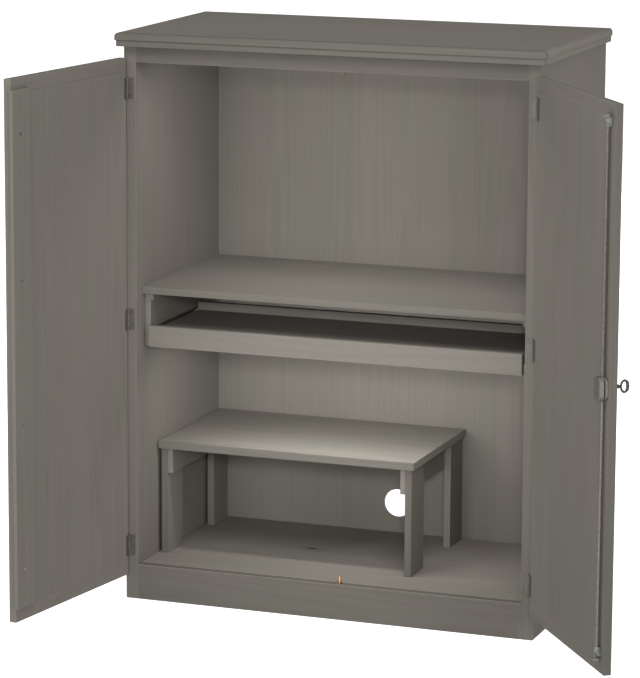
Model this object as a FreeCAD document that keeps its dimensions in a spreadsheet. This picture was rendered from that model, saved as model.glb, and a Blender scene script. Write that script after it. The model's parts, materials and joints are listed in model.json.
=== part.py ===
"""Computer armoire with two folding-back doors, a sliding keyboard tray and a printer stand.

Millimetres. X to the right, Y to the back, Z up. The origin lies on the floor, in the middle
of the carcase's front plane. The doors are drawn shut and swung open about their hinge pins.
"""
import FreeCAD, Part
import os
import Sketcher

document = FreeCAD.newDocument("ComputerArmoire")
sheet = document.addObject("Spreadsheet::Sheet", "Sizes")
sub_parts = []


# ---------------------------------------------------------------- driving dimensions

SIZES = {
    # Carcase
    "carcase_width": 1016,
    "carcase_depth": 528,
    "overall_height": 1362,
    "side_thickness": 30,
    "back_thickness": 6,
    "back_rebate": 10,
    "rail_thickness": 20,
    "front_rail_height": 38,
    "plinth_height": 86,
    "floor_thickness": 18,
    "cable_hole_radius": 35,
    "cable_hole_height": 160,
    # Top slab with its two-tier moulded edge
    "top_thickness": 32,
    "top_side_overhang": 15,
    "top_front_overhang": 22,
    "top_step": 3,
    "top_nose_height": 18,
    "top_nose_radius": 8,
    "top_foot_radius": 2,
    # Monitor shelf, its ledgers and the boards that carry the tray slides
    "shelf_height": 757,
    "shelf_thickness": 18,
    "shelf_setback": 31,
    "ledger_setback": 51,
    "ledger_width": 21,
    "ledger_height": 17,
    "hanger_thickness": 14,
    "hanger_bottom": 612,
    "hanger_back_room": 52,
    # Tray slides
    "slide_length": 300,
    "slide_top": 655,
    "slide_height": 37,
    "slide_space": 13.5,
    "slide_steel": 1.2,
    "roller_radius": 8.5,
    "roller_width": 6,
    "roller_play": 0.3,
    "roller_pin_radius": 2,
    "roller_setback": 14,
    "roller_side_room": 1,
    "roller_end_room": 1,
    "roller_notch_room": 2,
    "stud_end": 1,
    "slide_lip": 2,
    "runner_flange_stop": 3,
    "runner_ear_lap": 4,
    "runner_ear_rim": 4,
    # Keyboard tray
    "tray_board": 18,
    "tray_top": 654,
    "tray_depth": 265,
    "tray_rail_drop": 15,
    "fascia_side_gap": 16,
    "fascia_bottom": 612,
    "fascia_height": 51,
    "fascia_round": 5,
    "tray_lip_height": 19,
    "tray_closed_gap": 1,
    # Doors and hinges
    "door_side_margin": 14.5,
    "door_top_margin": 27,
    "door_bottom": 60,
    "door_thickness": 18,
    "door_end_rail": 32,
    "door_centre_gap": 3,
    "left_door_open_angle": 97.9,
    "right_door_open_angle": 125.7,
    "hinge_pin_offset": 10,
    "hinge_barrel_radius": 2.5,
    "hinge_pin_radius": 1.2,
    "hinge_pin_fit": 0.04,
    "hinge_leaf_width": 14,
    "hinge_leaf_height": 50,
    "hinge_leaf_thickness": 1.6,
    "hinge_leaf_play": 0.4,
    "hinge_barrel_play": 0.3,
    "hinge_knuckle_play": 0.3,
    "hinge_end_distance": 72,
    # Closing batten on the left door
    "batten_width": 64,
    "batten_thickness": 9,
    "batten_overlap": 7,
    "batten_end_distance": 34,
    "batten_top_distance": 24,
    "batten_relief": 0.6,
    # Rod lock on the right door
    "rod_radius": 4.2,
    "rod_edge_distance": 22,
    "rod_standoff": 8.3,
    "rod_floor_gap": 6,
    "rod_top_gap": 11,
    "rod_fit": 0.08,
    "keep_reach": 8,
    "keep_pin_radius": 2.5,
    "keep_pin_height": 18,
    "keep_plate_thickness": 1.5,
    "keep_plate_width": 11,
    "keep_plate_length": 12,
    "hook_play": 0.8,
    "hook_steel": 2.5,
    "hook_height": 6,
    "hook_arm_width": 5,
    "hook_arm_angle": 76,
    "hook_finger_angle": 61,
    "hook_turn": 90,
    "hook_joint_angle": 4,
    "guide_wall": 1.5,
    "guide_height": 20,
    "guide_tab": 7,
    "guide_gap": 2,
    "lock_height": 690,
    "lock_case_length": 52,
    "lock_case_width": 38,
    "lock_case_depth": 20,
    "lock_case_wall": 1.2,
    "lock_case_edge": 6,
    "lock_case_corner": 15,
    "lock_case_bevel": 2,
    "lock_slot_length": 40,
    "lock_slot_width": 3,
    "lock_slot_reach": 10,
    "lock_slot_clearance": 1,
    "lock_wheel_radius": 6.5,
    "lock_wheel_height": 10,
    "lock_wheel_play": 0.4,
    # Key
    "key_shank_radius": 2.6,
    "key_fit": 0.1,
    "key_socket_end": 2,
    "key_tip_play": 0.4,
    "hub_pivot_radius": 2.5,
    "key_bit_reach": 5,
    "key_bit_thickness": 2,
    "key_bit_length": 7,
    "key_collar_radius": 4.5,
    "key_collar_height": 7,
    "key_bow_start": 18,
    "key_bow_length": 23,
    "key_bow_width": 31,
    "key_bow_rim": 4,
    "key_bow_thickness": 3.4,
    "escutcheon_radius": 12,
    "escutcheon_thickness": 1.5,
    "key_passage": 6,
    # Loose printer stand
    "stand_side_gap": 4,
    "stand_width": 650,
    "stand_front": 118,
    "stand_back_gap": 4,
    "stand_height": 278,
    "stand_board": 19,
    "stand_leg_thickness": 17,
    "stand_leg_width": 92,
    "stand_leg_inset": 6,
    "stand_rail_thickness": 12,
    "stand_rail_height": 60,
}
for row, (alias, number) in enumerate(SIZES.items(), start=1):
    sheet.set("A%d" % row, alias)
    sheet.set("B%d" % row, str(number))
    sheet.setAlias("B%d" % row, alias)
document.recompute()


# ---------------------------------------------------------------- named levels and lines

def value(expression):
    """Present value of an expression, for a first guess or a count."""
    return float(sheet.evalExpression(expression))


INNER = "(Sizes.carcase_width / 2 - Sizes.side_thickness)"
UNDER_TOP = "(Sizes.overall_height - Sizes.top_thickness)"
BACK_FACE = "(Sizes.carcase_depth - Sizes.back_thickness)"
FRONT_RAIL_BOTTOM = "(%s - Sizes.front_rail_height)" % UNDER_TOP
SHELF_BOTTOM = "(Sizes.shelf_height - Sizes.shelf_thickness)"
LEDGER_BOTTOM = "(%s - Sizes.ledger_height)" % SHELF_BOTTOM
HANGER_FACE = "(%s - Sizes.hanger_thickness)" % INNER
SLIDE_BOTTOM = "(Sizes.slide_top - Sizes.slide_height)"
TRAY_HALF = "(%s - Sizes.slide_space)" % HANGER_FACE
TRAY_FRONT = "(Sizes.ledger_setback - Sizes.tray_closed_gap)"
TRAY_BOTTOM = "(Sizes.tray_top - Sizes.tray_board)"
RUNNER_ROLLER_Z = "(Sizes.slide_top - Sizes.slide_steel - Sizes.roller_radius - Sizes.roller_play)"
CHANNEL_FLOOR = "(%s - Sizes.roller_radius - Sizes.roller_play - Sizes.slide_steel)" % RUNNER_ROLLER_Z
RUNNER_FLANGE = "(%s + Sizes.slide_steel + Sizes.roller_play)" % CHANNEL_FLOOR
FRONT_ROLLER_Z = "(%s - Sizes.roller_radius - Sizes.roller_play)" % RUNNER_FLANGE
DOOR_FACE = "(-2 * Sizes.hinge_leaf_thickness - Sizes.hinge_leaf_play)"
DOOR_FRONT = "(%s - Sizes.door_thickness)" % DOOR_FACE
DOOR_TOP = "(%s - Sizes.door_top_margin)" % UNDER_TOP
DOOR_HEIGHT = "(%s - Sizes.door_bottom)" % DOOR_TOP
DOOR_EDGE = "(Sizes.door_centre_gap / 2)"
HINGE_EDGE = "(Sizes.carcase_width / 2 - Sizes.door_side_margin)"
DOOR_WIDTH = "(%s - %s)" % (HINGE_EDGE, DOOR_EDGE)
PIN_X = "(Sizes.carcase_width / 2 - Sizes.hinge_pin_offset)"
PIN_Y = "(-Sizes.hinge_barrel_radius - Sizes.hinge_barrel_play)"
ROD_X = "(%s + Sizes.rod_edge_distance)" % DOOR_EDGE
ROD_Y = "(%s + Sizes.rod_standoff)" % DOOR_FACE
ROD_BOTTOM = "(Sizes.plinth_height + Sizes.rod_floor_gap)"
ROD_TOP = "(%s - Sizes.rod_top_gap)" % FRONT_RAIL_BOTTOM
WHEEL_SPACING = "(2 * Sizes.lock_wheel_radius + Sizes.lock_wheel_play)"
KEY_X = "(%s + %s)" % (ROD_X, WHEEL_SPACING)
HUB_BACK = "(%s + Sizes.lock_wheel_height / 2)" % ROD_Y
KEY_TIP = "(%s - Sizes.key_socket_end - Sizes.key_tip_play)" % HUB_BACK


# ---------------------------------------------------------------- placements

def at(x="0", y="0", z="0"):
    """Placement without a turn."""
    return "placement(vector(%s; %s; %s); rotation(vector(0; 0; 1); 0))" % (x, y, z)


def turned(axis, angle):
    """Placement that turns about one of the own axes."""
    return "placement(vector(0; 0; 0); rotation(vector(%s); %s))" % (axis, angle)


def on_left_door(x="0", y="0", z="0"):
    """Place in the shut left door, carried round the left hinge pins to its opening."""
    hinge = "placement(vector(-%s; %s; 0); rotation(vector(0; 0; 1); -Sizes.left_door_open_angle))"
    hinge = hinge % (PIN_X, PIN_Y)
    return "%s * %s" % (hinge, at("%s + %s" % (x, PIN_X), "%s - %s" % (y, PIN_Y), z))


def on_right_door(x="0", y="0", z="0"):
    """Place in the shut right door, carried round the right hinge pins to its opening."""
    hinge = "placement(vector(%s; %s; 0); rotation(vector(0; 0; 1); Sizes.right_door_open_angle))"
    hinge = hinge % (PIN_X, PIN_Y)
    return "%s * %s" % (hinge, at("%s - %s" % (x, PIN_X), "%s - %s" % (y, PIN_Y), z))


def finish(item, label, placement=None):
    """Give a sub-part its name and place, and list it for export."""
    item.Label = label
    if placement:
        item.setExpression("Placement", placement)
    sub_parts.append(item)
    return item


# ---------------------------------------------------------------- solids from primitives

def box(name, length, depth, height, placement=None):
    """Box bound to the sheet: length along X, depth along Y, height along Z."""
    item = document.addObject("Part::Box", name)
    item.setExpression("Length", length)
    item.setExpression("Width", depth)
    item.setExpression("Height", height)
    if placement:
        item.setExpression("Placement", placement)
    return item


def rod(name, radius, height, placement=None, angle=None):
    """Upright cylinder, or a sector of one."""
    item = document.addObject("Part::Cylinder", name)
    item.setExpression("Radius", radius)
    item.setExpression("Height", height)
    if angle:
        item.setExpression("Angle", angle)
    if placement:
        item.setExpression("Placement", placement)
    return item


def pin_along_x(name, radius, length, x, y, z):
    """Cylinder that lies along X, from x towards the right."""
    return rod(name, radius, length, "%s * %s" % (at(x, y, z), turned("0; 1; 0", "90")))


def lying_along_y(name, radius, length, x, y, z, place):
    """Cylinder that lies along the Y of the place it is in, from y towards the front."""
    return rod(name, radius, length, "%s * %s" % (place(x, y, z), turned("1; 0; 0", "90")))


def fuse(name, items):
    """Union of several solids."""
    item = document.addObject("Part::MultiFuse", name)
    item.Shapes = items
    item.Refine = True
    return item


def cut(name, base, tool):
    """One solid less another."""
    item = document.addObject("Part::Cut", name)
    item.Base = base
    item.Tool = tool
    return item


def board(label, length, depth, height, placement):
    """Plain sawn board that is a sub-part by itself."""
    return finish(box(label, length, depth, height), label, placement)


def group(label, items):
    """Identical fittings that share one node as separate solids."""
    item = document.addObject("Part::Compound", label)
    item.Links = items
    return finish(item, label)


# ---------------------------------------------------------------- bodies from sketches

def new_body(name):
    """Empty PartDesign body."""
    return document.addObject("PartDesign::Body", name)


def sketch_on(body, role, offset=None):
    """Sketch on one of the body's own origin planes, moved along its normal by offset."""
    sketch = body.newObject("Sketcher::SketchObject", body.Name + "_sketch")
    plane = [feature for feature in body.Origin.OriginFeatures if feature.Role == role][0]
    sketch.AttachmentSupport = [(plane, "")]
    sketch.MapMode = "FlatFace"
    if offset:
        sketch.setExpression("AttachmentOffset.Base.z", offset)
    return sketch


def tie(sketch, geometry, point, across, upward):
    """Fix one point of a sketch at two distances from its origin."""
    start_x = value(across)
    start_y = value(upward)
    row = sketch.addConstraint(Sketcher.Constraint("DistanceX", -1, 1, geometry, point, start_x))
    sketch.setExpression("Constraints[%d]" % row, across)
    row = sketch.addConstraint(Sketcher.Constraint("DistanceY", -1, 1, geometry, point, start_y))
    sketch.setExpression("Constraints[%d]" % row, upward)


def polygon(sketch, corners):
    """Closed outline through the corners, each tied to the origin."""
    points = [FreeCAD.Vector(value(across), value(upward), 0) for across, upward in corners]
    first = sketch.GeometryCount
    count = len(points)
    for number in range(count):
        line = Part.LineSegment(points[number], points[(number + 1) % count])
        sketch.addGeometry(line, False)
    for number in range(count):
        following = first + (number + 1) % count
        sketch.addConstraint(Sketcher.Constraint("Coincident", first + number, 2, following, 1))
    for number, (across, upward) in enumerate(corners):
        tie(sketch, first + number, 1, across, upward)


def rectangle(sketch, left, bottom, right, top):
    """Rectangle between two opposite corners."""
    polygon(sketch, [(left, bottom), (right, bottom), (right, top), (left, top)])


def circle(sketch, across, upward, radius):
    """Circle tied to the origin."""
    centre = FreeCAD.Vector(value(across), value(upward), 0)
    number = sketch.addGeometry(Part.Circle(centre, FreeCAD.Vector(0, 0, 1), value(radius)), False)
    row = sketch.addConstraint(Sketcher.Constraint("Radius", number, value(radius)))
    sketch.setExpression("Constraints[%d]" % row, radius)
    tie(sketch, number, 3, across, upward)


def pad(body, sketch, length, backward=False):
    """Pad along the sketch's normal, or against it."""
    feature = body.newObject("PartDesign::Pad", body.Name + "_pad")
    feature.Profile = sketch
    feature.setExpression("Length", length)
    feature.Reversed = backward
    document.recompute()
    return feature


def pocket(body, sketch, length, backward=False):
    """Pocket that must take material away."""
    before = body.Shape.Volume
    feature = body.newObject("PartDesign::Pocket", body.Name + "_pocket")
    feature.Profile = sketch
    feature.setExpression("Length", length)
    feature.Reversed = backward
    document.recompute()
    if body.Shape.Volume >= before:
        raise RuntimeError("%s cuts nothing" % feature.Name)
    return feature


def edge_names(feature, wanted):
    """Names of the edges whose middle point passes the test."""
    names = []
    for number, edge in enumerate(feature.Shape.Edges):
        middle = edge.valueAt((edge.FirstParameter + edge.LastParameter) / 2)
        if wanted(edge, middle):
            names.append("Edge%d" % (number + 1))
    return names


def fillet(body, feature, wanted, radius):
    """Round the wanted edges."""
    rounding = body.newObject("PartDesign::Fillet", body.Name + "_fillet")
    rounding.Base = (feature, edge_names(feature, wanted))
    rounding.setExpression("Radius", radius)
    document.recompute()
    return rounding


def chamfer(body, feature, wanted, width):
    """Bevel the wanted edges."""
    bevel = body.newObject("PartDesign::Chamfer", body.Name + "_chamfer")
    bevel.Base = (feature, edge_names(feature, wanted))
    bevel.setExpression("Size", width)
    document.recompute()
    return bevel


def near(first, second):
    """True where two lengths agree."""
    return abs(first - second) < 0.01


# ---------------------------------------------------------------- carcase

def side_panel(label, side):
    """Side board down to the floor, rebated at the back for the back panel."""
    outer = "%d * Sizes.carcase_width / 2" % side
    inner = "%d * %s" % (side, INNER)
    rebate = "%d * (%s + Sizes.back_rebate)" % (side, INNER)
    body = new_body(label)
    sketch = sketch_on(body, "XY_Plane")
    corners = [(outer, "0"), (inner, "0"), (inner, BACK_FACE), (rebate, BACK_FACE)]
    corners += [(rebate, "Sizes.carcase_depth"), (outer, "Sizes.carcase_depth")]
    polygon(sketch, corners)
    pad(body, sketch, UNDER_TOP)
    finish(body, label)


def top_slab():
    """Top with a two-tier edge at the front and both ends: a round nose over a set-back foot."""
    half = "(Sizes.carcase_width / 2 + Sizes.top_side_overhang)"
    foot_half = "(%s - Sizes.top_step)" % half
    foot_height = "(Sizes.top_thickness - Sizes.top_nose_height)"
    front = "-Sizes.top_front_overhang"
    body = new_body("top_slab")
    foot = sketch_on(body, "XY_Plane")
    rectangle(foot, "-" + foot_half, "%s + Sizes.top_step" % front, foot_half, "Sizes.carcase_depth")
    pad(body, foot, "Sizes.top_thickness")
    nose = sketch_on(body, "XY_Plane", foot_height)
    rectangle(nose, "-" + half, front, half, "Sizes.carcase_depth")
    raised = pad(body, nose, "Sizes.top_nose_height")
    top = value("Sizes.top_thickness")
    rear = value("Sizes.carcase_depth")
    reach = value(half)
    front_line = value(front)

    def outline(edge, middle, level):
        at_edge = near(abs(middle.x), reach) or near(middle.y, front_line)
        return near(middle.z, level) and at_edge and not near(middle.y, rear)

    upper = fillet(body, raised, lambda edge, middle: outline(edge, middle, top), "Sizes.top_nose_radius")
    level = value(foot_height)
    foot_radius = "min(Sizes.top_foot_radius; 0.8 * Sizes.top_step)"
    fillet(body, upper, lambda edge, middle: outline(edge, middle, level), foot_radius)
    finish(body, "top_slab", at(z=UNDER_TOP))


def back_panel():
    """Thin back in the rebates, with the round cable outlet low in the middle."""
    half = "(%s + Sizes.back_rebate)" % INNER
    bottom = "(Sizes.plinth_height - Sizes.floor_thickness)"
    body = new_body("back_panel")
    sketch = sketch_on(body, "XZ_Plane")
    rectangle(sketch, "-" + half, bottom, half, UNDER_TOP)
    circle(sketch, "0", "Sizes.cable_hole_height", "Sizes.cable_hole_radius")
    pad(body, sketch, "Sizes.back_thickness", backward=True)
    finish(body, "back_panel", at(y=BACK_FACE))


def carcase():
    """Sides, top, back, rails, plinth, floor and monitor shelf."""
    side_panel("left_side_panel", -1)
    side_panel("right_side_panel", 1)
    top_slab()
    back_panel()
    width = "2 * " + INNER
    left = "-" + INNER
    rail = "Sizes.rail_thickness"
    under_floor = "(Sizes.plinth_height - Sizes.floor_thickness)"
    board("top_front_rail", width, rail, "Sizes.front_rail_height", at(left, "0", FRONT_RAIL_BOTTOM))
    rear = "%s - Sizes.rail_thickness" % BACK_FACE
    board("top_rear_rail", width, rail, "Sizes.front_rail_height", at(left, rear, FRONT_RAIL_BOTTOM))
    board("plinth_front_board", width, rail, "Sizes.plinth_height", at(left))
    board("plinth_rear_rail", width, rail, under_floor, at(left, rear))
    floor_depth = "%s - Sizes.rail_thickness" % BACK_FACE
    board("floor_panel", width, floor_depth, "Sizes.floor_thickness", at(left, rail, under_floor))
    shelf_depth = "%s - Sizes.shelf_setback" % BACK_FACE
    shelf_place = at(left, "Sizes.shelf_setback", SHELF_BOTTOM)
    board("monitor_shelf", width, shelf_depth, "Sizes.shelf_thickness", shelf_place)


def shelf_supports(label, side):
    """Ledger under the shelf and, below it, the board that the tray slide is screwed to."""
    ledger_left = INNER + " - Sizes.ledger_width" if side > 0 else "-" + INNER
    hanger_left = HANGER_FACE if side > 0 else "-" + INNER
    depth = "%s - Sizes.ledger_setback" % BACK_FACE
    ledger_place = at(ledger_left, "Sizes.ledger_setback", LEDGER_BOTTOM)
    board(label + "_shelf_ledger", "Sizes.ledger_width", depth, "Sizes.ledger_height", ledger_place)
    height = "%s - Sizes.hanger_bottom" % LEDGER_BOTTOM
    hanger_depth = "%s - Sizes.hanger_back_room - Sizes.ledger_setback" % BACK_FACE
    hanger_place = at(hanger_left, "Sizes.ledger_setback", "Sizes.hanger_bottom")
    board(label + "_slide_hanger", "Sizes.hanger_thickness", hanger_depth, height, hanger_place)


# ---------------------------------------------------------------- tray slides and tray

FLANGE = "(Sizes.roller_side_room + Sizes.roller_width + Sizes.slide_lip)"
STUD_LENGTH = "(Sizes.roller_side_room + Sizes.roller_width + Sizes.stud_end)"
RUNNER_LENGTH = "(Sizes.tray_depth + Sizes.tray_board - 2 * Sizes.tray_closed_gap)"
FRONT_ROLLER_Y = "(Sizes.ledger_setback + Sizes.roller_setback)"
REAR_ROLLER_Y = "(Sizes.ledger_setback + %s - Sizes.roller_radius - Sizes.roller_end_room)" % RUNNER_LENGTH


def slide_channel(label, side):
    """Cabinet member: a web with a top flange, and a lower one that stops short of the roller."""
    web = "%d * %s" % (side, HANGER_FACE)
    face = "%d * (%s - Sizes.slide_steel)" % (side, HANGER_FACE)
    lip = "%d * (%s - Sizes.slide_steel - %s)" % (side, HANGER_FACE, FLANGE)
    top = "Sizes.slide_top"
    under_top = "(Sizes.slide_top - Sizes.slide_steel)"
    lower_top = "(%s + Sizes.slide_steel)" % CHANNEL_FLOOR
    body = new_body(label + "_channel_steel")
    sketch = sketch_on(body, "XZ_Plane")
    corners = [(web, SLIDE_BOTTOM), (web, top), (lip, top), (lip, under_top), (face, under_top)]
    corners += [(face, lower_top), (lip, lower_top), (lip, CHANNEL_FLOOR)]
    corners += [(face, CHANNEL_FLOOR), (face, SLIDE_BOTTOM)]
    polygon(sketch, corners)
    pad(body, sketch, "Sizes.slide_length", backward=True)
    notch = sketch_on(body, "XZ_Plane")
    past_lip = "%s - %d * Sizes.slide_steel" % (lip, side)
    rectangle(notch, face, "%s - Sizes.slide_steel" % SLIDE_BOTTOM, past_lip, under_top)
    pocket(body, notch, "Sizes.roller_setback + Sizes.roller_radius + Sizes.roller_notch_room")
    body.setExpression("Placement", at(y="Sizes.ledger_setback"))
    start = "%s - Sizes.slide_steel - %s" % (HANGER_FACE, STUD_LENGTH) if side > 0 else face
    stud = pin_along_x(label + "_channel_stud", "Sizes.roller_pin_radius", STUD_LENGTH, start,
                       FRONT_ROLLER_Y, FRONT_ROLLER_Z)
    finish(fuse(label + "_channel", [body, stud]), label + "_slide_channel")


def tray_runner(label, side):
    """Tray member: an angle along the tray's edge, with an ear for the rear roller's stud."""
    web = "%d * %s" % (side, TRAY_HALF)
    face = "%d * (%s + Sizes.slide_steel)" % (side, TRAY_HALF)
    lip = "%d * (%s + Sizes.slide_steel + %s)" % (side, TRAY_HALF, FLANGE)
    bottom = "(%s - Sizes.tray_rail_drop)" % TRAY_BOTTOM
    flange_top = "(%s + Sizes.slide_steel)" % RUNNER_FLANGE
    body = new_body(label + "_runner_steel")
    sketch = sketch_on(body, "XZ_Plane")
    corners = [(web, bottom), (web, flange_top), (lip, flange_top), (lip, RUNNER_FLANGE)]
    corners += [(face, RUNNER_FLANGE), (face, bottom)]
    polygon(sketch, corners)
    flange_length = "%s - 2 * Sizes.roller_radius - Sizes.runner_flange_stop" % RUNNER_LENGTH
    pad(body, sketch, flange_length, backward=True)
    ear = sketch_on(body, "YZ_Plane", web)
    start = "%s - Sizes.runner_ear_lap" % flange_length
    rear = RUNNER_LENGTH
    ear_top = "(%s + Sizes.roller_pin_radius + Sizes.runner_ear_rim)" % RUNNER_ROLLER_Z
    rectangle(ear, start, bottom, rear, ear_top)
    pad(body, ear, "Sizes.slide_steel", backward=side < 0)
    body.setExpression("Placement", at(y="Sizes.ledger_setback"))
    stud_left = face if side > 0 else "-(%s + Sizes.slide_steel + %s)" % (TRAY_HALF, STUD_LENGTH)
    stud = pin_along_x(label + "_runner_stud", "Sizes.roller_pin_radius", STUD_LENGTH, stud_left,
                       REAR_ROLLER_Y, RUNNER_ROLLER_Z)
    finish(fuse(label + "_runner", [body, stud]), label + "_tray_runner")


def roller(label, left, y, z):
    """Nylon wheel that turns on its stud."""
    wheel = pin_along_x(label + "_tyre", "Sizes.roller_radius", "Sizes.roller_width", left, y, z)
    bore_radius = "Sizes.roller_pin_radius + Sizes.rod_fit"
    start = "%s - Sizes.roller_width" % left
    bore = pin_along_x(label + "_bore", bore_radius, "3 * Sizes.roller_width", start, y, z)
    finish(cut(label, wheel, bore), label)


def slides():
    """Both roller slides: channel, runner and two rollers each."""
    for label, side in (("left", -1), ("right", 1)):
        slide_channel(label, side)
        tray_runner(label, side)
        room = "Sizes.slide_steel - Sizes.roller_side_room - Sizes.roller_width"
        front = "(%s - %s)" % (HANGER_FACE, room)
        rear = "(%s + Sizes.slide_steel + Sizes.roller_side_room)" % TRAY_HALF
        front_left = front if side > 0 else "-(%s + Sizes.roller_width)" % front
        rear_left = rear if side > 0 else "-(%s + Sizes.roller_width)" % rear
        roller(label + "_front_roller", front_left, FRONT_ROLLER_Y, FRONT_ROLLER_Z)
        roller(label + "_rear_roller", rear_left, REAR_ROLLER_Y, RUNNER_ROLLER_Z)


def tray():
    """Keyboard tray: panel between two rails, a round-topped fascia and a rear stop board."""
    width = "2 * " + TRAY_HALF
    left = "-" + TRAY_HALF
    thick = "Sizes.tray_board"
    board("tray_panel", width, "Sizes.tray_depth", thick, at(left, TRAY_FRONT, TRAY_BOTTOM))
    lip_height = "Sizes.tray_board + Sizes.tray_lip_height"
    lip_place = at(left, "%s + Sizes.tray_depth" % TRAY_FRONT, TRAY_BOTTOM)
    board("tray_rear_lip", width, thick, lip_height, lip_place)
    rail_bottom = "%s - Sizes.tray_rail_drop" % TRAY_BOTTOM
    for label, start in (("left", left), ("right", "%s - Sizes.tray_board" % TRAY_HALF)):
        place = at(start, TRAY_FRONT, rail_bottom)
        board("tray_%s_rail" % label, thick, "Sizes.tray_depth", "Sizes.tray_rail_drop", place)
    half = "(%s - Sizes.fascia_side_gap)" % INNER
    fascia = new_body("tray_fascia")
    sketch = sketch_on(fascia, "YZ_Plane")
    rectangle(sketch, "0", "0", "Sizes.tray_board", "Sizes.fascia_height")
    plank = pad(fascia, sketch, "2 * " + half)
    top = value("Sizes.fascia_height")

    def upper_front(edge, middle):
        return near(middle.z, top) and near(middle.y, 0)

    fillet(fascia, plank, upper_front, "Sizes.fascia_round")
    place = at("-" + half, "%s - Sizes.tray_board" % TRAY_FRONT, "Sizes.fascia_bottom")
    finish(fascia, "tray_fascia", place)


# ---------------------------------------------------------------- doors

def door(label, place, left):
    """End rails of one door; the field between them is made apart."""
    width = DOOR_WIDTH
    thick = "Sizes.door_thickness"
    rail = "Sizes.door_end_rail"
    top = "%s - Sizes.door_end_rail" % DOOR_TOP
    board(label + "_door_top_rail", width, thick, rail, place(left, DOOR_FRONT, top))
    board(label + "_door_bottom_rail", width, thick, rail, place(left, DOOR_FRONT, "Sizes.door_bottom"))


def door_field(label, place, left):
    """Upright-grained field of a door, without any hole."""
    height = "%s - 2 * Sizes.door_end_rail" % DOOR_HEIGHT
    bottom = "Sizes.door_bottom + Sizes.door_end_rail"
    return box(label, DOOR_WIDTH, "Sizes.door_thickness", height, place(left, DOOR_FRONT, bottom))


def left_door():
    """Left door with the closing batten that the right door shuts against."""
    left = "-%s" % HINGE_EDGE
    door("left", on_left_door, left)
    finish(door_field("left_door_panel", on_left_door, left), "left_door_panel")
    batten = new_body("closing_batten")
    plan = sketch_on(batten, "XY_Plane")
    edge = "-" + DOOR_EDGE
    inside = "(%s + Sizes.batten_thickness)" % DOOR_FACE
    relieved = "(%s + Sizes.batten_relief)" % DOOR_FACE
    tongue = "(%s + Sizes.batten_overlap)" % edge
    start = "(%s - Sizes.batten_width)" % edge
    corners = [(start, DOOR_FACE), (edge, DOOR_FACE), (edge, relieved), (tongue, relieved)]
    corners += [(tongue, inside), (start, inside)]
    polygon(plan, corners)
    pad(batten, plan, "%s - Sizes.batten_end_distance - Sizes.batten_top_distance" % DOOR_HEIGHT)
    bottom = "Sizes.door_bottom + Sizes.batten_end_distance"
    finish(batten, "closing_batten", on_left_door(z=bottom))


def right_door():
    """Right door, bored for the key."""
    left = DOOR_EDGE
    door("right", on_right_door, left)
    field = door_field("right_door_field", on_right_door, left)
    start = "%s + Sizes.key_passage" % DOOR_FACE
    length = "Sizes.door_thickness + 2 * Sizes.key_passage"
    passage = lying_along_y("key_passage_bore", "Sizes.key_passage", length,
                            KEY_X, start, "Sizes.lock_height", on_right_door)
    finish(cut("right_door_panel", field, passage), "right_door_panel")


# ---------------------------------------------------------------- hinges

def knuckle(name, height, radius, x, z, place):
    """Piece of the hinge barrel."""
    return rod(name, radius, height, place(x, PIN_Y, z))


def hinge_heights():
    """Lower ends of the three hinges of a door."""
    half = "Sizes.hinge_leaf_height / 2"
    low = "(Sizes.door_bottom + Sizes.hinge_end_distance - %s)" % half
    middle = "(Sizes.door_bottom + %s / 2 - %s)" % (DOOR_HEIGHT, half)
    high = "(%s - Sizes.hinge_end_distance - %s)" % (DOOR_TOP, half)
    return [low, middle, high]


def leaf_strip(name, side, place, y, low, height, start, width):
    """Flat strip of a hinge leaf: start and width are counted from the pin towards the middle."""
    left = "(%s - %s - %s)" % (PIN_X, start, width) if side > 0 else "(%s - %s)" % (start, PIN_X)
    return box(name, width, "Sizes.hinge_leaf_thickness", height, place(left, y, low))


def hinge_half(name, side, place, y, bottom, knuckles):
    """One leaf of a hinge: a strip clear of the barrel, and a root and a knuckle at each given height."""
    pin_x = PIN_X if side > 0 else "-" + PIN_X
    clear = "(Sizes.hinge_barrel_radius + Sizes.hinge_knuckle_play)"
    strip_width = "(Sizes.hinge_leaf_width - %s)" % clear
    height = "Sizes.hinge_leaf_height"
    pieces = [leaf_strip(name + "_strip", side, place, y, bottom, height, clear, strip_width)]
    for number, (low, length) in enumerate(knuckles):
        tag = "%s_%d" % (name, number + 1)
        pieces.append(leaf_strip(tag + "_root", side, place, y, low, length, "0", clear))
        pieces.append(knuckle(tag + "_knuckle", length, "Sizes.hinge_barrel_radius", pin_x, low, place))
    return pieces


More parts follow.
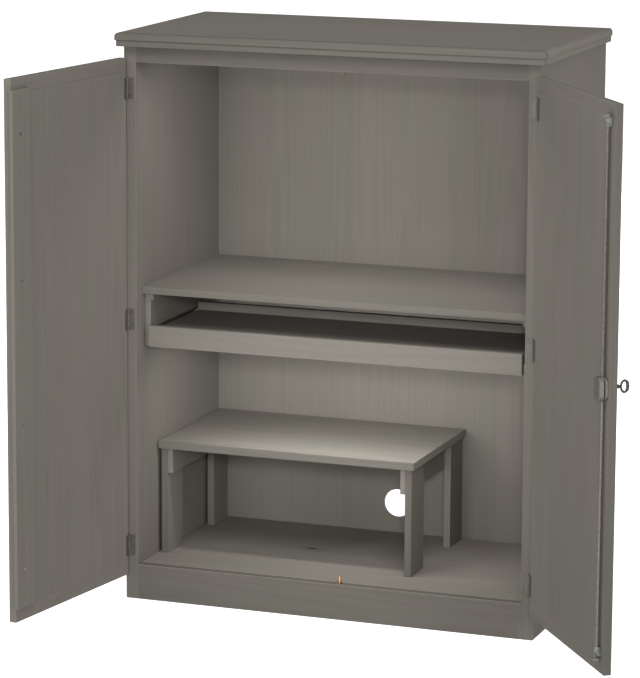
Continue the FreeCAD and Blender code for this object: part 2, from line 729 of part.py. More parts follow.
def hinge_set(label, side, place):
    """Three butt hinges: leaves on the carcase edge, and leaves on the door that hold the pins."""
    pin_x = PIN_X if side > 0 else "-" + PIN_X
    height = "Sizes.hinge_leaf_height"
    bore_radius = "Sizes.hinge_pin_radius + Sizes.hinge_pin_fit"
    third = "(Sizes.hinge_leaf_height / 3)"
    short = "(%s - 2 * Sizes.hinge_knuckle_play)" % third
    frame_leaves = []
    door_leaves = []
    for number, bottom in enumerate(hinge_heights()):
        name = "%s_hinge_%d" % (label, number + 1)
        middle = "(%s + %s + Sizes.hinge_knuckle_play)" % (bottom, third)
        upper = "(%s + 2 * %s)" % (bottom, third)
        frame_pieces = hinge_half(name + "_frame", side, at, "-Sizes.hinge_leaf_thickness", bottom,
                                  [(middle, short)])
        bore = knuckle(name + "_bore", height, bore_radius, pin_x, bottom, at)
        frame_leaves.append(cut(name + "_frame_leaf", fuse(name + "_frame_whole", frame_pieces), bore))
        door_pieces = hinge_half(name + "_door", side, place, DOOR_FACE, bottom,
                                 [(bottom, third), (upper, third)])
        pin = knuckle(name + "_pin", height, "Sizes.hinge_pin_radius", pin_x, bottom, place)
        door_leaves.append(fuse(name + "_door_leaf", door_pieces + [pin]))
    group(label + "_hinge_frame_leaves", frame_leaves)
    group(label + "_hinge_door_leaves", door_leaves)


# ---------------------------------------------------------------- rod lock

HOOK_REACH = "(sqrt(2) * Sizes.keep_reach + Sizes.keep_pin_radius + Sizes.hook_play)"


def hook(name, bottom):
    """Claw on the rod's end: a radial arm that carries a round finger about the rod's axis."""
    outer_radius = "(%s + Sizes.hook_steel)" % HOOK_REACH
    height = "Sizes.hook_height"
    locked_start = "(Sizes.hook_arm_angle - Sizes.hook_finger_angle)"
    start = "(%s + Sizes.hook_turn)" % locked_start
    sweep = "Sizes.hook_finger_angle + Sizes.hook_joint_angle"
    turn = "rotation(vector(0; 0; 1); %s)"
    at_start = "placement(vector(0; 0; %s); %s)" % (bottom, turn % start)
    at_arm = "placement(vector(0; 0; %s); %s)" % (bottom, turn % "(Sizes.hook_arm_angle + Sizes.hook_turn)")
    sector = rod(name + "_sector", outer_radius, height, at_start, sweep)
    inside = rod(name + "_inside", HOOK_REACH, height, at(z=bottom))
    finger = cut(name + "_finger", sector, inside)
    arm_place = "%s * %s" % (at_arm, at("0", "-Sizes.hook_arm_width / 2", "0"))
    arm_length = "%s + Sizes.hook_steel / 2" % HOOK_REACH
    arm = box(name + "_arm", arm_length, "Sizes.hook_arm_width", height, arm_place)
    return [finger, arm]


def lock_rods():
    """Upper and lower rod, each with its claw, and the worm wheel that the key's hub turns."""
    wheel_low = "(Sizes.lock_height - Sizes.lock_wheel_height / 2)"
    lower_length = "%s - %s" % (wheel_low, ROD_BOTTOM)
    lower = rod("lower_shaft", "Sizes.rod_radius", lower_length, at(z=ROD_BOTTOM))
    lower_rod = fuse("lower_lock_rod", [lower] + hook("lower_hook", ROD_BOTTOM))
    finish(lower_rod, "lower_lock_rod", on_right_door(ROD_X, ROD_Y))
    wheel = rod("rod_wheel", "Sizes.lock_wheel_radius", "Sizes.lock_wheel_height", at(z=wheel_low))
    finish(wheel, "lock_rod_wheel", on_right_door(ROD_X, ROD_Y, wheel_low))
    wheel_top = "(Sizes.lock_height + Sizes.lock_wheel_height / 2)"
    upper = rod("upper_shaft", "Sizes.rod_radius", "%s - %s" % (ROD_TOP, wheel_top), at(z=wheel_top))
    hook_bottom = "(%s - Sizes.hook_height)" % ROD_TOP
    upper_rod = fuse("upper_lock_rod", [upper] + hook("upper_hook", hook_bottom))
    finish(upper_rod, "upper_lock_rod", on_right_door(ROD_X, ROD_Y))


def rod_guide(name, bottom):
    """Bearing for one rod: a saddle with a bore between two flat tabs on the door."""
    outer = "(Sizes.rod_radius + Sizes.rod_fit + Sizes.guide_wall)"
    height = "Sizes.guide_height"
    saddle = box(name + "_saddle", "2 * " + outer, "Sizes.rod_standoff", height,
                 on_right_door("%s - %s" % (ROD_X, outer), DOOR_FACE, bottom))
    crown = rod(name + "_crown", outer, height, on_right_door(ROD_X, ROD_Y, bottom))
    tab_reach = "(%s + Sizes.guide_tab)" % outer
    tabs = box(name + "_tabs", "2 * " + tab_reach, "Sizes.guide_wall", height,
               on_right_door("%s - %s" % (ROD_X, tab_reach), DOOR_FACE, bottom))
    bore_place = on_right_door(ROD_X, ROD_Y, "%s - Sizes.guide_wall" % bottom)
    bore_length = "%s + 2 * Sizes.guide_wall" % height
    bore = rod(name + "_bore", "Sizes.rod_radius + Sizes.rod_fit", bore_length, bore_place)
    return cut(name, fuse(name + "_whole", [saddle, crown, tabs]), bore)


def lock_case():
    """Hollow case with round corners and a slot along its edge side, bored for rods and hub."""
    left = "(%s + Sizes.lock_case_edge)" % DOOR_EDGE
    right = "(%s + Sizes.lock_case_width)" % left
    bottom = "(Sizes.lock_height - Sizes.lock_case_length / 2)"
    top = "(Sizes.lock_height + Sizes.lock_case_length / 2)"
    wall = "Sizes.lock_case_wall"
    depth = "Sizes.lock_case_depth"
    body = new_body("lock_shell")
    face = sketch_on(body, "XZ_Plane")
    rectangle(face, left, bottom, right, top)
    block = pad(body, face, depth, backward=True)
    half = value(depth) / 2
    corner = "Sizes.lock_case_corner"
    rounded = fillet(body, block, lambda edge, middle: near(middle.y, half), corner)
    front = value(depth)
    chamfer(body, rounded, lambda edge, middle: near(middle.y, front), "Sizes.lock_case_bevel")
    hollow = new_body("lock_hollow")
    inner = sketch_on(hollow, "XZ_Plane")
    rectangle(inner, "%s + %s" % (left, wall), "%s + %s" % (bottom, wall),
              "%s - %s" % (right, wall), "%s - %s" % (top, wall))
    core = pad(hollow, inner, "%s - %s" % (depth, wall), backward=True)
    core_half = value("%s - %s" % (depth, wall)) / 2
    chamfer(hollow, core, lambda edge, middle: near(middle.y, core_half), "%s - %s" % (corner, wall))
    rod_place = at(ROD_X, "Sizes.rod_standoff", "%s - %s" % (bottom, wall))
    rod_length = "Sizes.lock_case_length + 2 * " + wall
    rod_bore = rod("case_rod_bore", "Sizes.rod_radius + Sizes.rod_fit", rod_length, rod_place)
    hub_bore = lying_along_y("case_hub_bore", "Sizes.hub_pivot_radius + Sizes.rod_fit", depth,
                             KEY_X, "%s + %s" % (depth, wall), "Sizes.lock_height", at)
    slot_place = at(left + " - Sizes.lock_slot_clearance",
                    "Sizes.rod_standoff - Sizes.lock_slot_width / 2",
                    "Sizes.lock_height - Sizes.lock_slot_length / 2")
    slot = box("case_slot", "Sizes.lock_slot_reach + Sizes.lock_slot_clearance",
               "Sizes.lock_slot_width", "Sizes.lock_slot_length", slot_place)
    tools = fuse("lock_case_tools", [hollow, rod_bore, hub_bore, slot])
    finish(cut("lock_case", body, tools), "lock_case", on_right_door(y=DOOR_FACE))


def key_hub():
    """Drum that the key turns: a socket with a slot for the bit, and a pivot in the case."""
    z = "Sizes.lock_height"
    length = "(%s - %s - Sizes.lock_wheel_play)" % (HUB_BACK, DOOR_FACE)
    drum = lying_along_y("hub_drum", "Sizes.lock_wheel_radius", length, KEY_X, HUB_BACK, z, on_right_door)
    pivot_end = "(%s + Sizes.lock_case_depth)" % DOOR_FACE
    pivot = lying_along_y("hub_pivot", "Sizes.hub_pivot_radius", "%s - %s" % (pivot_end, HUB_BACK),
                          KEY_X, pivot_end, z, on_right_door)
    socket_back = "(%s - Sizes.key_socket_end)" % HUB_BACK
    socket = lying_along_y("hub_socket", "Sizes.key_shank_radius + Sizes.key_fit", length,
                           KEY_X, socket_back, z, on_right_door)
    width = "(Sizes.key_bit_thickness + 2 * Sizes.key_fit)"
    reach = "(Sizes.key_bit_reach + Sizes.key_fit)"
    slot_place = on_right_door("%s - %s / 2" % (KEY_X, width), "%s - %s" % (socket_back, length),
                               "%s - %s" % (z, reach))
    slot = box("hub_slot", width, length, reach, slot_place)
    hub = cut("lock_hub", fuse("hub_whole", [drum, pivot]), fuse("hub_hollow", [socket, slot]))
    finish(hub, "lock_hub")


def key():
    """Key with a flat oval bow, a collar, a round shank and a bit that hangs down."""
    z = "Sizes.lock_height"
    bow_front = "(%s - Sizes.key_bow_start)" % DOOR_FRONT
    shank_length = "%s - %s + Sizes.key_bow_rim / 2" % (KEY_TIP, bow_front)
    shank = lying_along_y("key_shank", "Sizes.key_shank_radius", shank_length, "0", KEY_TIP, z, at)
    collar = lying_along_y("key_collar", "Sizes.key_collar_radius", "Sizes.key_collar_height",
                           "0", "%s + Sizes.key_collar_height" % bow_front, z, at)
    bit_place = at("-Sizes.key_bit_thickness / 2", "%s - Sizes.key_bit_length" % KEY_TIP,
                   "%s - Sizes.key_bit_reach" % z)
    bit = box("key_bit", "Sizes.key_bit_thickness", "Sizes.key_bit_length", "Sizes.key_bit_reach", bit_place)
    bow = []
    for name, rim in (("bow_outer", "0"), ("bow_inner", "Sizes.key_bow_rim")):
        ellipse = document.addObject("Part::Ellipse", name + "_line")
        ellipse.setExpression("MajorRadius", "Sizes.key_bow_width / 2 - " + rim)
        ellipse.setExpression("MinorRadius", "Sizes.key_bow_length / 2 - " + rim)
        plate = document.addObject("Part::Extrusion", name)
        plate.Base = ellipse
        plate.DirMode = "Custom"
        plate.Dir = FreeCAD.Vector(0, 0, 1)
        plate.Solid = True
        plate.Symmetric = True
        plate.setExpression("LengthFwd", "Sizes.key_bow_thickness + 4 * " + rim)
        bow.append(plate)
    ring = cut("bow_ring", bow[0], bow[1])
    centre = "%s - Sizes.key_bow_length / 2" % bow_front
    ring.setExpression("Placement", "%s * %s" % (at("0", centre, z), turned("0; 1; 0", "90")))
    whole = fuse("key", [shank, collar, bit, ring])
    finish(whole, "key", on_right_door(KEY_X))


def escutcheon():
    """Round plate on the door's face with a keyhole through it."""
    z = "Sizes.lock_height"
    plate = lying_along_y("escutcheon_plate", "Sizes.escutcheon_radius", "Sizes.escutcheon_thickness",
                          KEY_X, DOOR_FRONT, z, on_right_door)
    play = "(4 * Sizes.key_fit)"
    through = "3 * Sizes.escutcheon_thickness"
    behind = "%s + Sizes.escutcheon_thickness" % DOOR_FRONT
    before = "%s - 2 * Sizes.escutcheon_thickness" % DOOR_FRONT
    hole = lying_along_y("keyhole_round", "Sizes.key_shank_radius + " + play, through,
                         KEY_X, behind, z, on_right_door)
    width = "(Sizes.key_bit_thickness + 2 * %s)" % play
    reach = "(Sizes.key_bit_reach + %s)" % play
    slot_place = on_right_door("%s - %s / 2" % (KEY_X, width), before, "%s - %s" % (z, reach))
    slot = box("keyhole_slot", width, through, reach, slot_place)
    finish(cut("key_escutcheon", plate, fuse("keyhole", [hole, slot])), "key_escutcheon")


def keep(name, plate_bottom, pin_bottom):
    """Flat plate with the pin that a claw hooks round."""
    x = "(%s + Sizes.keep_reach)" % ROD_X
    y = "(%s + Sizes.keep_reach)" % ROD_Y
    left = "%s - Sizes.keep_plate_width / 2" % x
    front = "%s - Sizes.keep_plate_length / 2" % y
    plate = box(name + "_plate", "Sizes.keep_plate_width", "Sizes.keep_plate_length",
                "Sizes.keep_plate_thickness", at(left, front, plate_bottom))
    pin = rod(name + "_pin", "Sizes.keep_pin_radius", "Sizes.keep_pin_height", at(x, y, pin_bottom))
    finish(fuse(name, [plate, pin]), name)


def lock():
    """Everything of the rod lock, on the right door and on the carcase."""
    lock_rods()
    gap = "Sizes.guide_gap"
    low = "(%s + Sizes.hook_height + %s)" % (ROD_BOTTOM, gap)
    high = "(%s - Sizes.hook_height - %s - Sizes.guide_height)" % (ROD_TOP, gap)
    group("rod_guides", [rod_guide("lower_guide", low), rod_guide("upper_guide", high)])
    lock_case()
    key_hub()
    key()
    escutcheon()
    keep("lower_keep", "Sizes.plinth_height", "Sizes.plinth_height")
    plate_bottom = "%s - Sizes.keep_plate_thickness" % FRONT_RAIL_BOTTOM
    keep("upper_keep", plate_bottom, "%s - Sizes.keep_pin_height" % FRONT_RAIL_BOTTOM)


# ---------------------------------------------------------------- loose printer stand

def printer_stand():
    """Low table on four board legs with a rail along each side."""
    left = "(Sizes.stand_side_gap - %s)" % INNER
    depth = "(%s - Sizes.stand_back_gap - Sizes.stand_front)" % BACK_FACE
    floor = "Sizes.plinth_height"
    top = "(Sizes.plinth_height + Sizes.stand_height - Sizes.stand_board)"
    board("stand_top", "Sizes.stand_width", depth, "Sizes.stand_board",
          at(left, "Sizes.stand_front", top))
    leg_height = "Sizes.stand_height - Sizes.stand_board"
    front = "Sizes.stand_front + Sizes.stand_leg_inset"
    rear = "Sizes.stand_front + %s - Sizes.stand_leg_inset - Sizes.stand_leg_width" % depth
    near_left = "%s + Sizes.stand_leg_inset" % left
    near_right = "%s + Sizes.stand_width - Sizes.stand_leg_inset - Sizes.stand_leg_thickness" % left
    for across, start in (("left", near_left), ("right", near_right)):
        for along, place in (("front", front), ("rear", rear)):
            board("stand_%s_%s_leg" % (across, along), "Sizes.stand_leg_thickness", "Sizes.stand_leg_width",
                  leg_height, at(start, place, floor))
    rail_bottom = "%s - Sizes.stand_rail_height" % top
    rail_depth = "%s + Sizes.stand_leg_width - (%s)" % (rear, front)
    inner_left = "%s + Sizes.stand_leg_thickness" % near_left
    inner_right = "%s - Sizes.stand_rail_thickness" % near_right
    for across, start in (("left", inner_left), ("right", inner_right)):
        board("stand_%s_rail" % across, "Sizes.stand_rail_thickness", rail_depth, "Sizes.stand_rail_height",
              at(start, front, rail_bottom))


# ---------------------------------------------------------------- build, test and write

def check_document():
    """Stop at a failed object or a sub-part without a sound solid."""
    for item in document.Objects:
        if "Invalid" in item.State or "Error" in item.State:
            raise RuntimeError("%s is in state %s" % (item.Name, item.State))
    for item in sub_parts:
        if item.Shape.isNull() or not item.Shape.isValid() or not item.Shape.Solids:
            raise RuntimeError("%s has no sound solid" % item.Label)


def write_parts():
    """Write one STEP file for each sub-part."""
    os.makedirs("parts", exist_ok=True)
    for item in sub_parts:
        item.Shape.exportStep("parts/%s.step" % item.Label)


carcase()
shelf_supports("left", -1)
shelf_supports("right", 1)
slides()
tray()
left_door()
right_door()
hinge_set("left", -1, on_left_door)
hinge_set("right", 1, on_right_door)
lock()
printer_stand()
document.recompute()
check_document()
write_parts()
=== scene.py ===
"""Computer armoire in grey-washed pine: boards, doors, hinges, tray slides, rod lock and printer stand."""
import json
import math

import bpy
import numpy as np
from mathutils import Matrix, Vector


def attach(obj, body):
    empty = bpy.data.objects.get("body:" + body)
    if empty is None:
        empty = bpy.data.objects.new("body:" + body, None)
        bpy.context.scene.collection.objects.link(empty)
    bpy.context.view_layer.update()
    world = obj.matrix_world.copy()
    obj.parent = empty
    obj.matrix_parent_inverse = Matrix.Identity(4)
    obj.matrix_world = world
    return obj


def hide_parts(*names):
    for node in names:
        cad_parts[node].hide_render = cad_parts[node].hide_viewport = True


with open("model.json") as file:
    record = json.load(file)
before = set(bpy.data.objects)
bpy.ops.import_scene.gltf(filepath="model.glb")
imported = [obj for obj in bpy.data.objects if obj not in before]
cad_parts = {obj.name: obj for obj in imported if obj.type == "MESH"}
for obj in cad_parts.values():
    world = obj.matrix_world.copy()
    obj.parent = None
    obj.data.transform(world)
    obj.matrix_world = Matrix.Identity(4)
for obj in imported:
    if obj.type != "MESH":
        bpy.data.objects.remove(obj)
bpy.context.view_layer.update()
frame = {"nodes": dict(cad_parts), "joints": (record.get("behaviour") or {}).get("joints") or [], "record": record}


# ---------------------------------------------------------------- camera
# The camera stands to the right in front of the armoire, a little above its top, and looks down
# at it through a long lens. The lens is shifted a little, so that its axis is off the middle.

CAMERA_PLACE = (2.6748, -7.3381, 2.2015)
CAMERA_TURN = 21.001
CAMERA_TILT = 10.749
CAMERA_ROLL = 0.178
IMAGE_HEIGHT = 678
FOCAL_LENGTH = 3436.8
AXIS_FROM_MIDDLE = (-50.63, -20.89)
SENSOR = 36
VIEW_REACH = 100

camera_data = bpy.data.cameras.new("camera")
camera_data.sensor_width = SENSOR
camera_data.lens = SENSOR * FOCAL_LENGTH / IMAGE_HEIGHT
camera_data.shift_x = -AXIS_FROM_MIDDLE[0] / IMAGE_HEIGHT
camera_data.shift_y = AXIS_FROM_MIDDLE[1] / IMAGE_HEIGHT
camera_data.clip_end = VIEW_REACH
camera = bpy.data.objects.new("camera", camera_data)
bpy.context.scene.collection.objects.link(camera)
turn = Matrix.Rotation(math.radians(CAMERA_TURN), 4, "Z")
tilt = Matrix.Rotation(math.radians(90 - CAMERA_TILT), 4, "X")
roll = Matrix.Rotation(math.radians(CAMERA_ROLL), 4, "Z")
camera.matrix_world = Matrix.Translation(CAMERA_PLACE) @ turn @ tilt @ roll
bpy.context.scene.camera = camera
bpy.context.scene.view_settings.view_transform = "Standard"


# ---------------------------------------------------------------- floor and light
# A pale studio floor under a faint even sky, with large soft lamps in front, behind and at both
# sides. A narrow lamp reaches into the open cabinet, and two thin strip lamps hide inside it,
# one behind the front rail and one under the tray, so that its upper and lower rooms aren't dark.

class Shade:
    """A number, vector or colour inside one material. Sums and products of it add Math nodes."""

    def __init__(self, tree, socket=None):
        self.tree = tree
        self.socket = socket

    def node(self, kind, inputs=(), output=0, stops=(), **settings):
        """Add a node: first its settings and ramp stops, then the values or links of its sockets."""
        made = self.tree.nodes.new(kind)
        for name, setting in settings.items():
            setattr(made, name, setting)
        for number, (place, tone) in enumerate(stops):
            ramp = made.color_ramp.elements
            stop = ramp[number] if number < 2 else ramp.new(place)
            stop.position = place
            stop.color = tone
        for key, given in dict(inputs).items():
            if isinstance(given, Shade):
                self.tree.links.new(given.socket, made.inputs[key])
            else:
                made.inputs[key].default_value = given
        return Shade(self.tree, made.outputs[output] if len(made.outputs) else None)

    def math(self, operation, *values):
        """Math node on up to three numbers."""
        return self.node("ShaderNodeMath", dict(enumerate(values)), operation=operation)

    def __add__(self, other):
        return self.math("ADD", self, other)

    __radd__ = __add__

    def __sub__(self, other):
        return self.math("SUBTRACT", self, other)

    def __rsub__(self, other):
        return self.math("SUBTRACT", other, self)

    def __mul__(self, other):
        return self.math("MULTIPLY", self, other)

    __rmul__ = __mul__

    def __truediv__(self, other):
        return self.math("DIVIDE", self, other)

    def __pow__(self, other):
        return self.math("POWER", self, other)

    def least(self, other):
        """The smaller of two numbers."""
        return self.math("MINIMUM", self, other)

    def most(self, other):
        """The larger of two numbers."""
        return self.math("MAXIMUM", self, other)

    def whole(self):
        """The whole number at or below this one."""
        return self.math("FLOOR", self)

    def fraction(self):
        """What this number has beyond its whole number."""
        return self.math("FRACT", self)

    def rise(self, low, high):
        """0 below low and 1 above high, with a smooth step between."""
        inputs = {"Value": self, "From Min": low, "From Max": high}
        return self.node("ShaderNodeMapRange", inputs, interpolation_type="SMOOTHSTEP")

    def mix(self, first, second):
        """Colour that goes from first to second as this value goes from 0 to 1."""
        return self.node("ShaderNodeMix", {0: self, 6: first, 7: second}, output=2, data_type="RGBA")

    def noise(self, detail=2.0, roughness=0.5):
        """Cloudy noise between 0 and 1 at this vector."""
        inputs = {"Vector": self, "Scale": 1.0, "Detail": detail, "Roughness": roughness}
        return self.node("ShaderNodeTexNoise", inputs)


def seen_directly(start):
    """1 for rays from the camera, off gloss and through glass, and 0 for rays that light a surface."""
    names = ("Is Camera Ray", "Is Glossy Ray", "Is Transmission Ray")
    rays = [start.node("ShaderNodeLightPath", output=name) for name in names]
    return rays[0].most(rays[1]).most(rays[2])


SKY_LEVEL = 0.26
FLOOR_GREY = 0.8
FLOOR_GLOW = 0.8
FLOOR_GLOW_FAR = 1.0
FLOOR_NEAR, FLOOR_FAR = 1.0, 2.6
FLOOR_REACH = 30.0
LAMP_AIM = (0.0, 0.2, 0.65)
LAMP_DISTANCE = 7.0
LAMP_SIDE = 3.0
# Lamps on a ball round the armoire: degrees round it from the front, degrees up, and watts. The
# one with a cone, in degrees, is a spot.
LAMPS = {
    "lamp_front_low": {"turn": -5, "rise": 0, "power": 208.0},
    "lamp_high_left": {"turn": -30, "rise": 48, "power": 131.0},
    "lamp_high_right": {"turn": 21, "rise": 48, "power": 141.0},
    "lamp_right": {"turn": 45, "rise": 8, "power": 121.0},
    "lamp_far_right": {"turn": 65, "rise": 22, "power": 117.0},
    "lamp_into_cabinet": {"turn": 20, "rise": 14, "power": 1140.0, "cone": 12.0},
    "lamp_back": {"turn": 180, "rise": 12, "power": 230.0},
    "lamp_left_side": {"turn": -104, "rise": 9, "power": 180.0},
    "lamp_right_side": {"turn": 118, "rise": 9, "power": 40.0},
}
NARROW_LAMP_RADIUS = 0.35
NARROW_LAMP_BLEND = 0.9
STRIP_LAMPS = {
    "strip_behind_front_rail": {"place": (0.0, 0.04, 1.315), "aim": (0.0, 0.40, 0.85), "power": 1.6},
    "strip_under_tray": {"place": (0.0, 0.06, 0.605), "aim": (0.0, 0.46, 0.30), "power": 2.0},
}
STRIP_LAMP_SIZE = (0.64, 0.03)

world = bpy.data.worlds.new("studio")
world.use_nodes = True
world.node_tree.nodes.clear()
sky = Shade(world.node_tree)
sky_level = seen_directly(sky) * (1 - SKY_LEVEL) + SKY_LEVEL
dome = sky.node("ShaderNodeBackground", {"Color": (1, 1, 1, 1), "Strength": sky_level})
sky.node("ShaderNodeOutputWorld", {"Surface": dome})
bpy.context.scene.world = world


def set_lamp(lamp_data, place, aim, power):
    """Hang a lamp at a place, facing an aim."""
    lamp_data.energy = power
    lamp = bpy.data.objects.new(lamp_data.name, lamp_data)
    bpy.context.scene.collection.objects.link(lamp)
    towards_aim = (Vector(aim) - Vector(place)).to_track_quat("-Z", "Y").to_matrix().to_4x4()
    lamp.matrix_world = Matrix.Translation(place) @ towards_aim
    return lamp


for name, wanted in LAMPS.items():
    lamp_data = bpy.data.lights.new(name, "SPOT" if "cone" in wanted else "AREA")
    if "cone" in wanted:
        lamp_data.spot_size = math.radians(wanted["cone"])
        lamp_data.spot_blend = NARROW_LAMP_BLEND
        lamp_data.shadow_soft_size = NARROW_LAMP_RADIUS
    else:
        lamp_data.size = LAMP_SIDE
    turn = Matrix.Rotation(math.radians(wanted["turn"]), 3, "Z")
    rise = Matrix.Rotation(math.radians(-wanted["rise"]), 3, "X")
    arm = turn @ rise @ Vector((0, -LAMP_DISTANCE, 0))
    set_lamp(lamp_data, Vector(LAMP_AIM) + arm, LAMP_AIM, wanted["power"])

for name, wanted in STRIP_LAMPS.items():
    lamp_data = bpy.data.lights.new(name, "AREA")
    lamp_data.shape = "RECTANGLE"
    lamp_data.size, lamp_data.size_y = STRIP_LAMP_SIZE
    strip = set_lamp(lamp_data, wanted["place"], wanted["aim"], wanted["power"])
    strip.visible_camera = False
    strip.visible_glossy = False

floor_mesh = bpy.data.meshes.new("studio_floor")
corners = [(x * FLOOR_REACH, y * FLOOR_REACH, 0.0) for x, y in ((-1, -1), (1, -1), (1, 1), (-1, 1))]
floor_mesh.from_pydata(corners, [], [(0, 1, 2, 3)])
studio_floor = bpy.data.objects.new("studio_floor", floor_mesh)
bpy.context.scene.collection.objects.link(studio_floor)
floor_material = bpy.data.materials.new("pale_floor")
floor_material.use_nodes = True
floor_material.node_tree.nodes.clear()
paint = Shade(floor_material.node_tree)
lit = paint.node("ShaderNodeBsdfDiffuse", {"Color": (FLOOR_GREY, FLOOR_GREY, FLOOR_GREY, 1)})
place = paint.node("ShaderNodeTexCoord", output="Object")
from_middle = place.node("ShaderNodeVectorMath", {0: place}, output=1, operation="LENGTH")
floor_level = from_middle.rise(FLOOR_NEAR, FLOOR_FAR) * (FLOOR_GLOW_FAR - FLOOR_GLOW) + FLOOR_GLOW
glow = paint.node("ShaderNodeEmission", {"Strength": seen_directly(paint) * floor_level})
both = paint.node("ShaderNodeAddShader", {0: lit, 1: glow})
paint.node("ShaderNodeOutputMaterial", {"Surface": both})
floor_mesh.materials.append(floor_material)


# ---------------------------------------------------------------- grey-washed boards
# Every board is planed pine under a thin grey wash that lets the grain show. Its arrises are eased
# with sandpaper, and the wash is rubbed a little thin along them. Wide boards are glued up from
# narrower staves, each cut from another part of the log. Some boards carry painted light: a wash
# made paler or darker for how the lamps light them, and painted shade on the faces lit most.

def screen_colour(red, green, blue):
    """Linear colour, with alpha, of three screen values between 0 and 255, by the screen's curve."""
    screen = np.array([red, green, blue]) / 255
    linear = np.where(screen <= 0.04045, screen / 12.92, ((screen + 0.055) / 1.055) ** 2.4)
    return (*linear.tolist(), 1.0)


WASH_WARM = screen_colour(116, 110, 104)
WASH_COOL = screen_colour(111, 110, 102)
GRAIN_DARK = screen_colour(92, 88, 82)
RUBBED = screen_colour(121, 118, 111)
KNOT_DARK = screen_colour(66, 58, 51)
# Painted light: how much paler or darker the wash is made on some boards, so that under these lamps
# they come out about as bright as the rest.
BOARD_PAINTED_LIGHT = {
    "top_slab": 1.12, "top_front_rail": 0.70, "plinth_front_board": 0.75, "floor_panel": 1.4,
    "monitor_shelf": 1.22, "stand_top": 1.35, "left_side_panel": 1.04,
    "stand_left_front_leg": 1.12, "stand_right_front_leg": 1.12,
}
ALONG_X, ALONG_Y, ALONG_Z = 0, 1, 2
EDGE_DEPTH, MOULDING_DEPTH = 0.0014, 0.014
# Painted shade on the faces that the lamps light most, mostly front faces: the axis they face along
# (towards its low end), how dark, and how deep. Over the nearer share of that depth, given by the
# next number, the painted shade is even.
PAINTED_SHADE_FULL = 0.6
PAINTED_FACE_SHADE = {
    "right_door_panel": (ALONG_X, 0.60, EDGE_DEPTH),
    "right_door_top_rail": (ALONG_X, 0.60, EDGE_DEPTH),
    "right_door_bottom_rail": (ALONG_X, 0.60, EDGE_DEPTH),
    "left_side_panel": (ALONG_Y, 0.82, EDGE_DEPTH),
    "right_side_panel": (ALONG_Y, 0.82, EDGE_DEPTH),
    "top_slab": (ALONG_Y, 0.68, MOULDING_DEPTH),
    "monitor_shelf": (ALONG_Y, 0.66, EDGE_DEPTH),
    "stand_top": (ALONG_Y, 0.60, EDGE_DEPTH),
    "stand_left_front_leg": (ALONG_Y, 0.64, EDGE_DEPTH),
    "stand_right_front_leg": (ALONG_Y, 0.64, EDGE_DEPTH),
}

# The log: its staves and rings in metres, how far the rings wander and taper, where its heart lies
# beside and below a stave, and the shares of a ring where late wood begins, is full and ends.
STAVE_WIDTH = 0.128
RING_WIDTH = 0.0095
RING_WANDER = 0.055
RING_TAPER = 0.006
HEART_ASIDE = 1.2
HEART_DEEP, HEART_DEEPER = 0.02, 0.07
LATE_BEGINS, LATE_FULL, LATE_FALLS = 0.25, 0.92, 0.93

# How often the patterns repeat in a metre, along and across the grain, and their shift by stave.
DRIFT_SCALE, DRIFT_SHIFT = (0.9, 5), 37
FIBRE_SCALE, FIBRE_SHIFT = (9, 420), 11
STREAK_SCALE, STREAK_SHIFT = (2.4, 70), 19
CLOUD_SCALE = (3, 9)

# How much each pattern darkens, tints, roughens and lifts the wash.
LATE_DARK, FIBRE_DARK, STREAK_DARK, STAVE_DARK, ALL_DARK = 0.13, 0.26, 0.26, 0.08, 0.06
CLOUD_TINT, STAVE_TINT = 1.6, 0.4
WOOD_ROUGH, FIBRE_ROUGH, LATE_ROUGH = 0.68, 0.16, 0.06
FIBRE_LIFT, LATE_LIFT = 0.7, 0.3
GRAIN_BUMP, GRAIN_DEPTH = 0.35, 0.00025

# A knot in the floor: its place along and across the board and its size, then its own shape.
FLOOR_KNOT = (-0.14, 0.02, 0.011)
KNOT_STRETCH, KNOT_RAGGED = 2.6, 0.25
KNOT_CORE, KNOT_RING, KNOT_HALO = 0.25, 0.6, 1.7
HALO_DARK = 0.35

# Arrises, eased in a few flat steps and rubbed a little thin.
ARRIS = 0.0012
ARRIS_STEPS = 3
ARRIS_ANGLE = 35
FLAT_ANGLE = 0.5
MERGE_GAP = 0.00001
RUB_WIDTH = 0.003
RUB_LEAST, RUB_MORE = 0.1, 0.9

# How far each door stands turned about its pins at rest. The low limit of its joint shuts it.
joint_limits = {joint["name"]: joint.get("range_deg") for joint in frame["joints"]}
DOOR_TURN = {
    "left_door": math.radians(joint_limits["left_door_swing"][0]),
    "right_door": -math.radians(joint_limits["right_door_swing"][0]),
}


def body_of(node):
    """Name of the body that a node rides on."""
    bodies = frame["record"]["behaviour"]["bodies"]
    return next(name for name, members in bodies.items() if node in members)


def points_of(node):
    """The points of a node as an array."""
    mesh = frame["nodes"][node].data
    points = np.empty(len(mesh.vertices) * 3, np.float32)
    mesh.vertices.foreach_get("co", points)
    return points.reshape(-1, 3).astype(float)


def upright_turn(angle):
    """Matrix that turns points about Z by an angle."""
    return np.array(Matrix.Rotation(angle, 3, "Z"))


def close_surface(material, start, inputs):
    """Join the shader and the output of a material."""
    surface = start.node("ShaderNodeBsdfPrincipled", inputs)
    start.node("ShaderNodeOutputMaterial", {"Surface": surface})
    return material


def new_material(name):
    """Empty material and the start of its shade."""
    material = bpy.data.materials.new(name)
    material.use_nodes = True
    material.node_tree.nodes.clear()
    return material, Shade(material.node_tree)


def stretched(board, scales, shift, aside=0.0):
    """Vector that changes slowly along the grain and fast across it, at a place u, v, w in a board."""
    u, v, w = board
    along, across = scales
    parts = {0: u * along + shift, 1: v * across + aside, 2: w * across}
    return u.node("ShaderNodeCombineXYZ", parts)


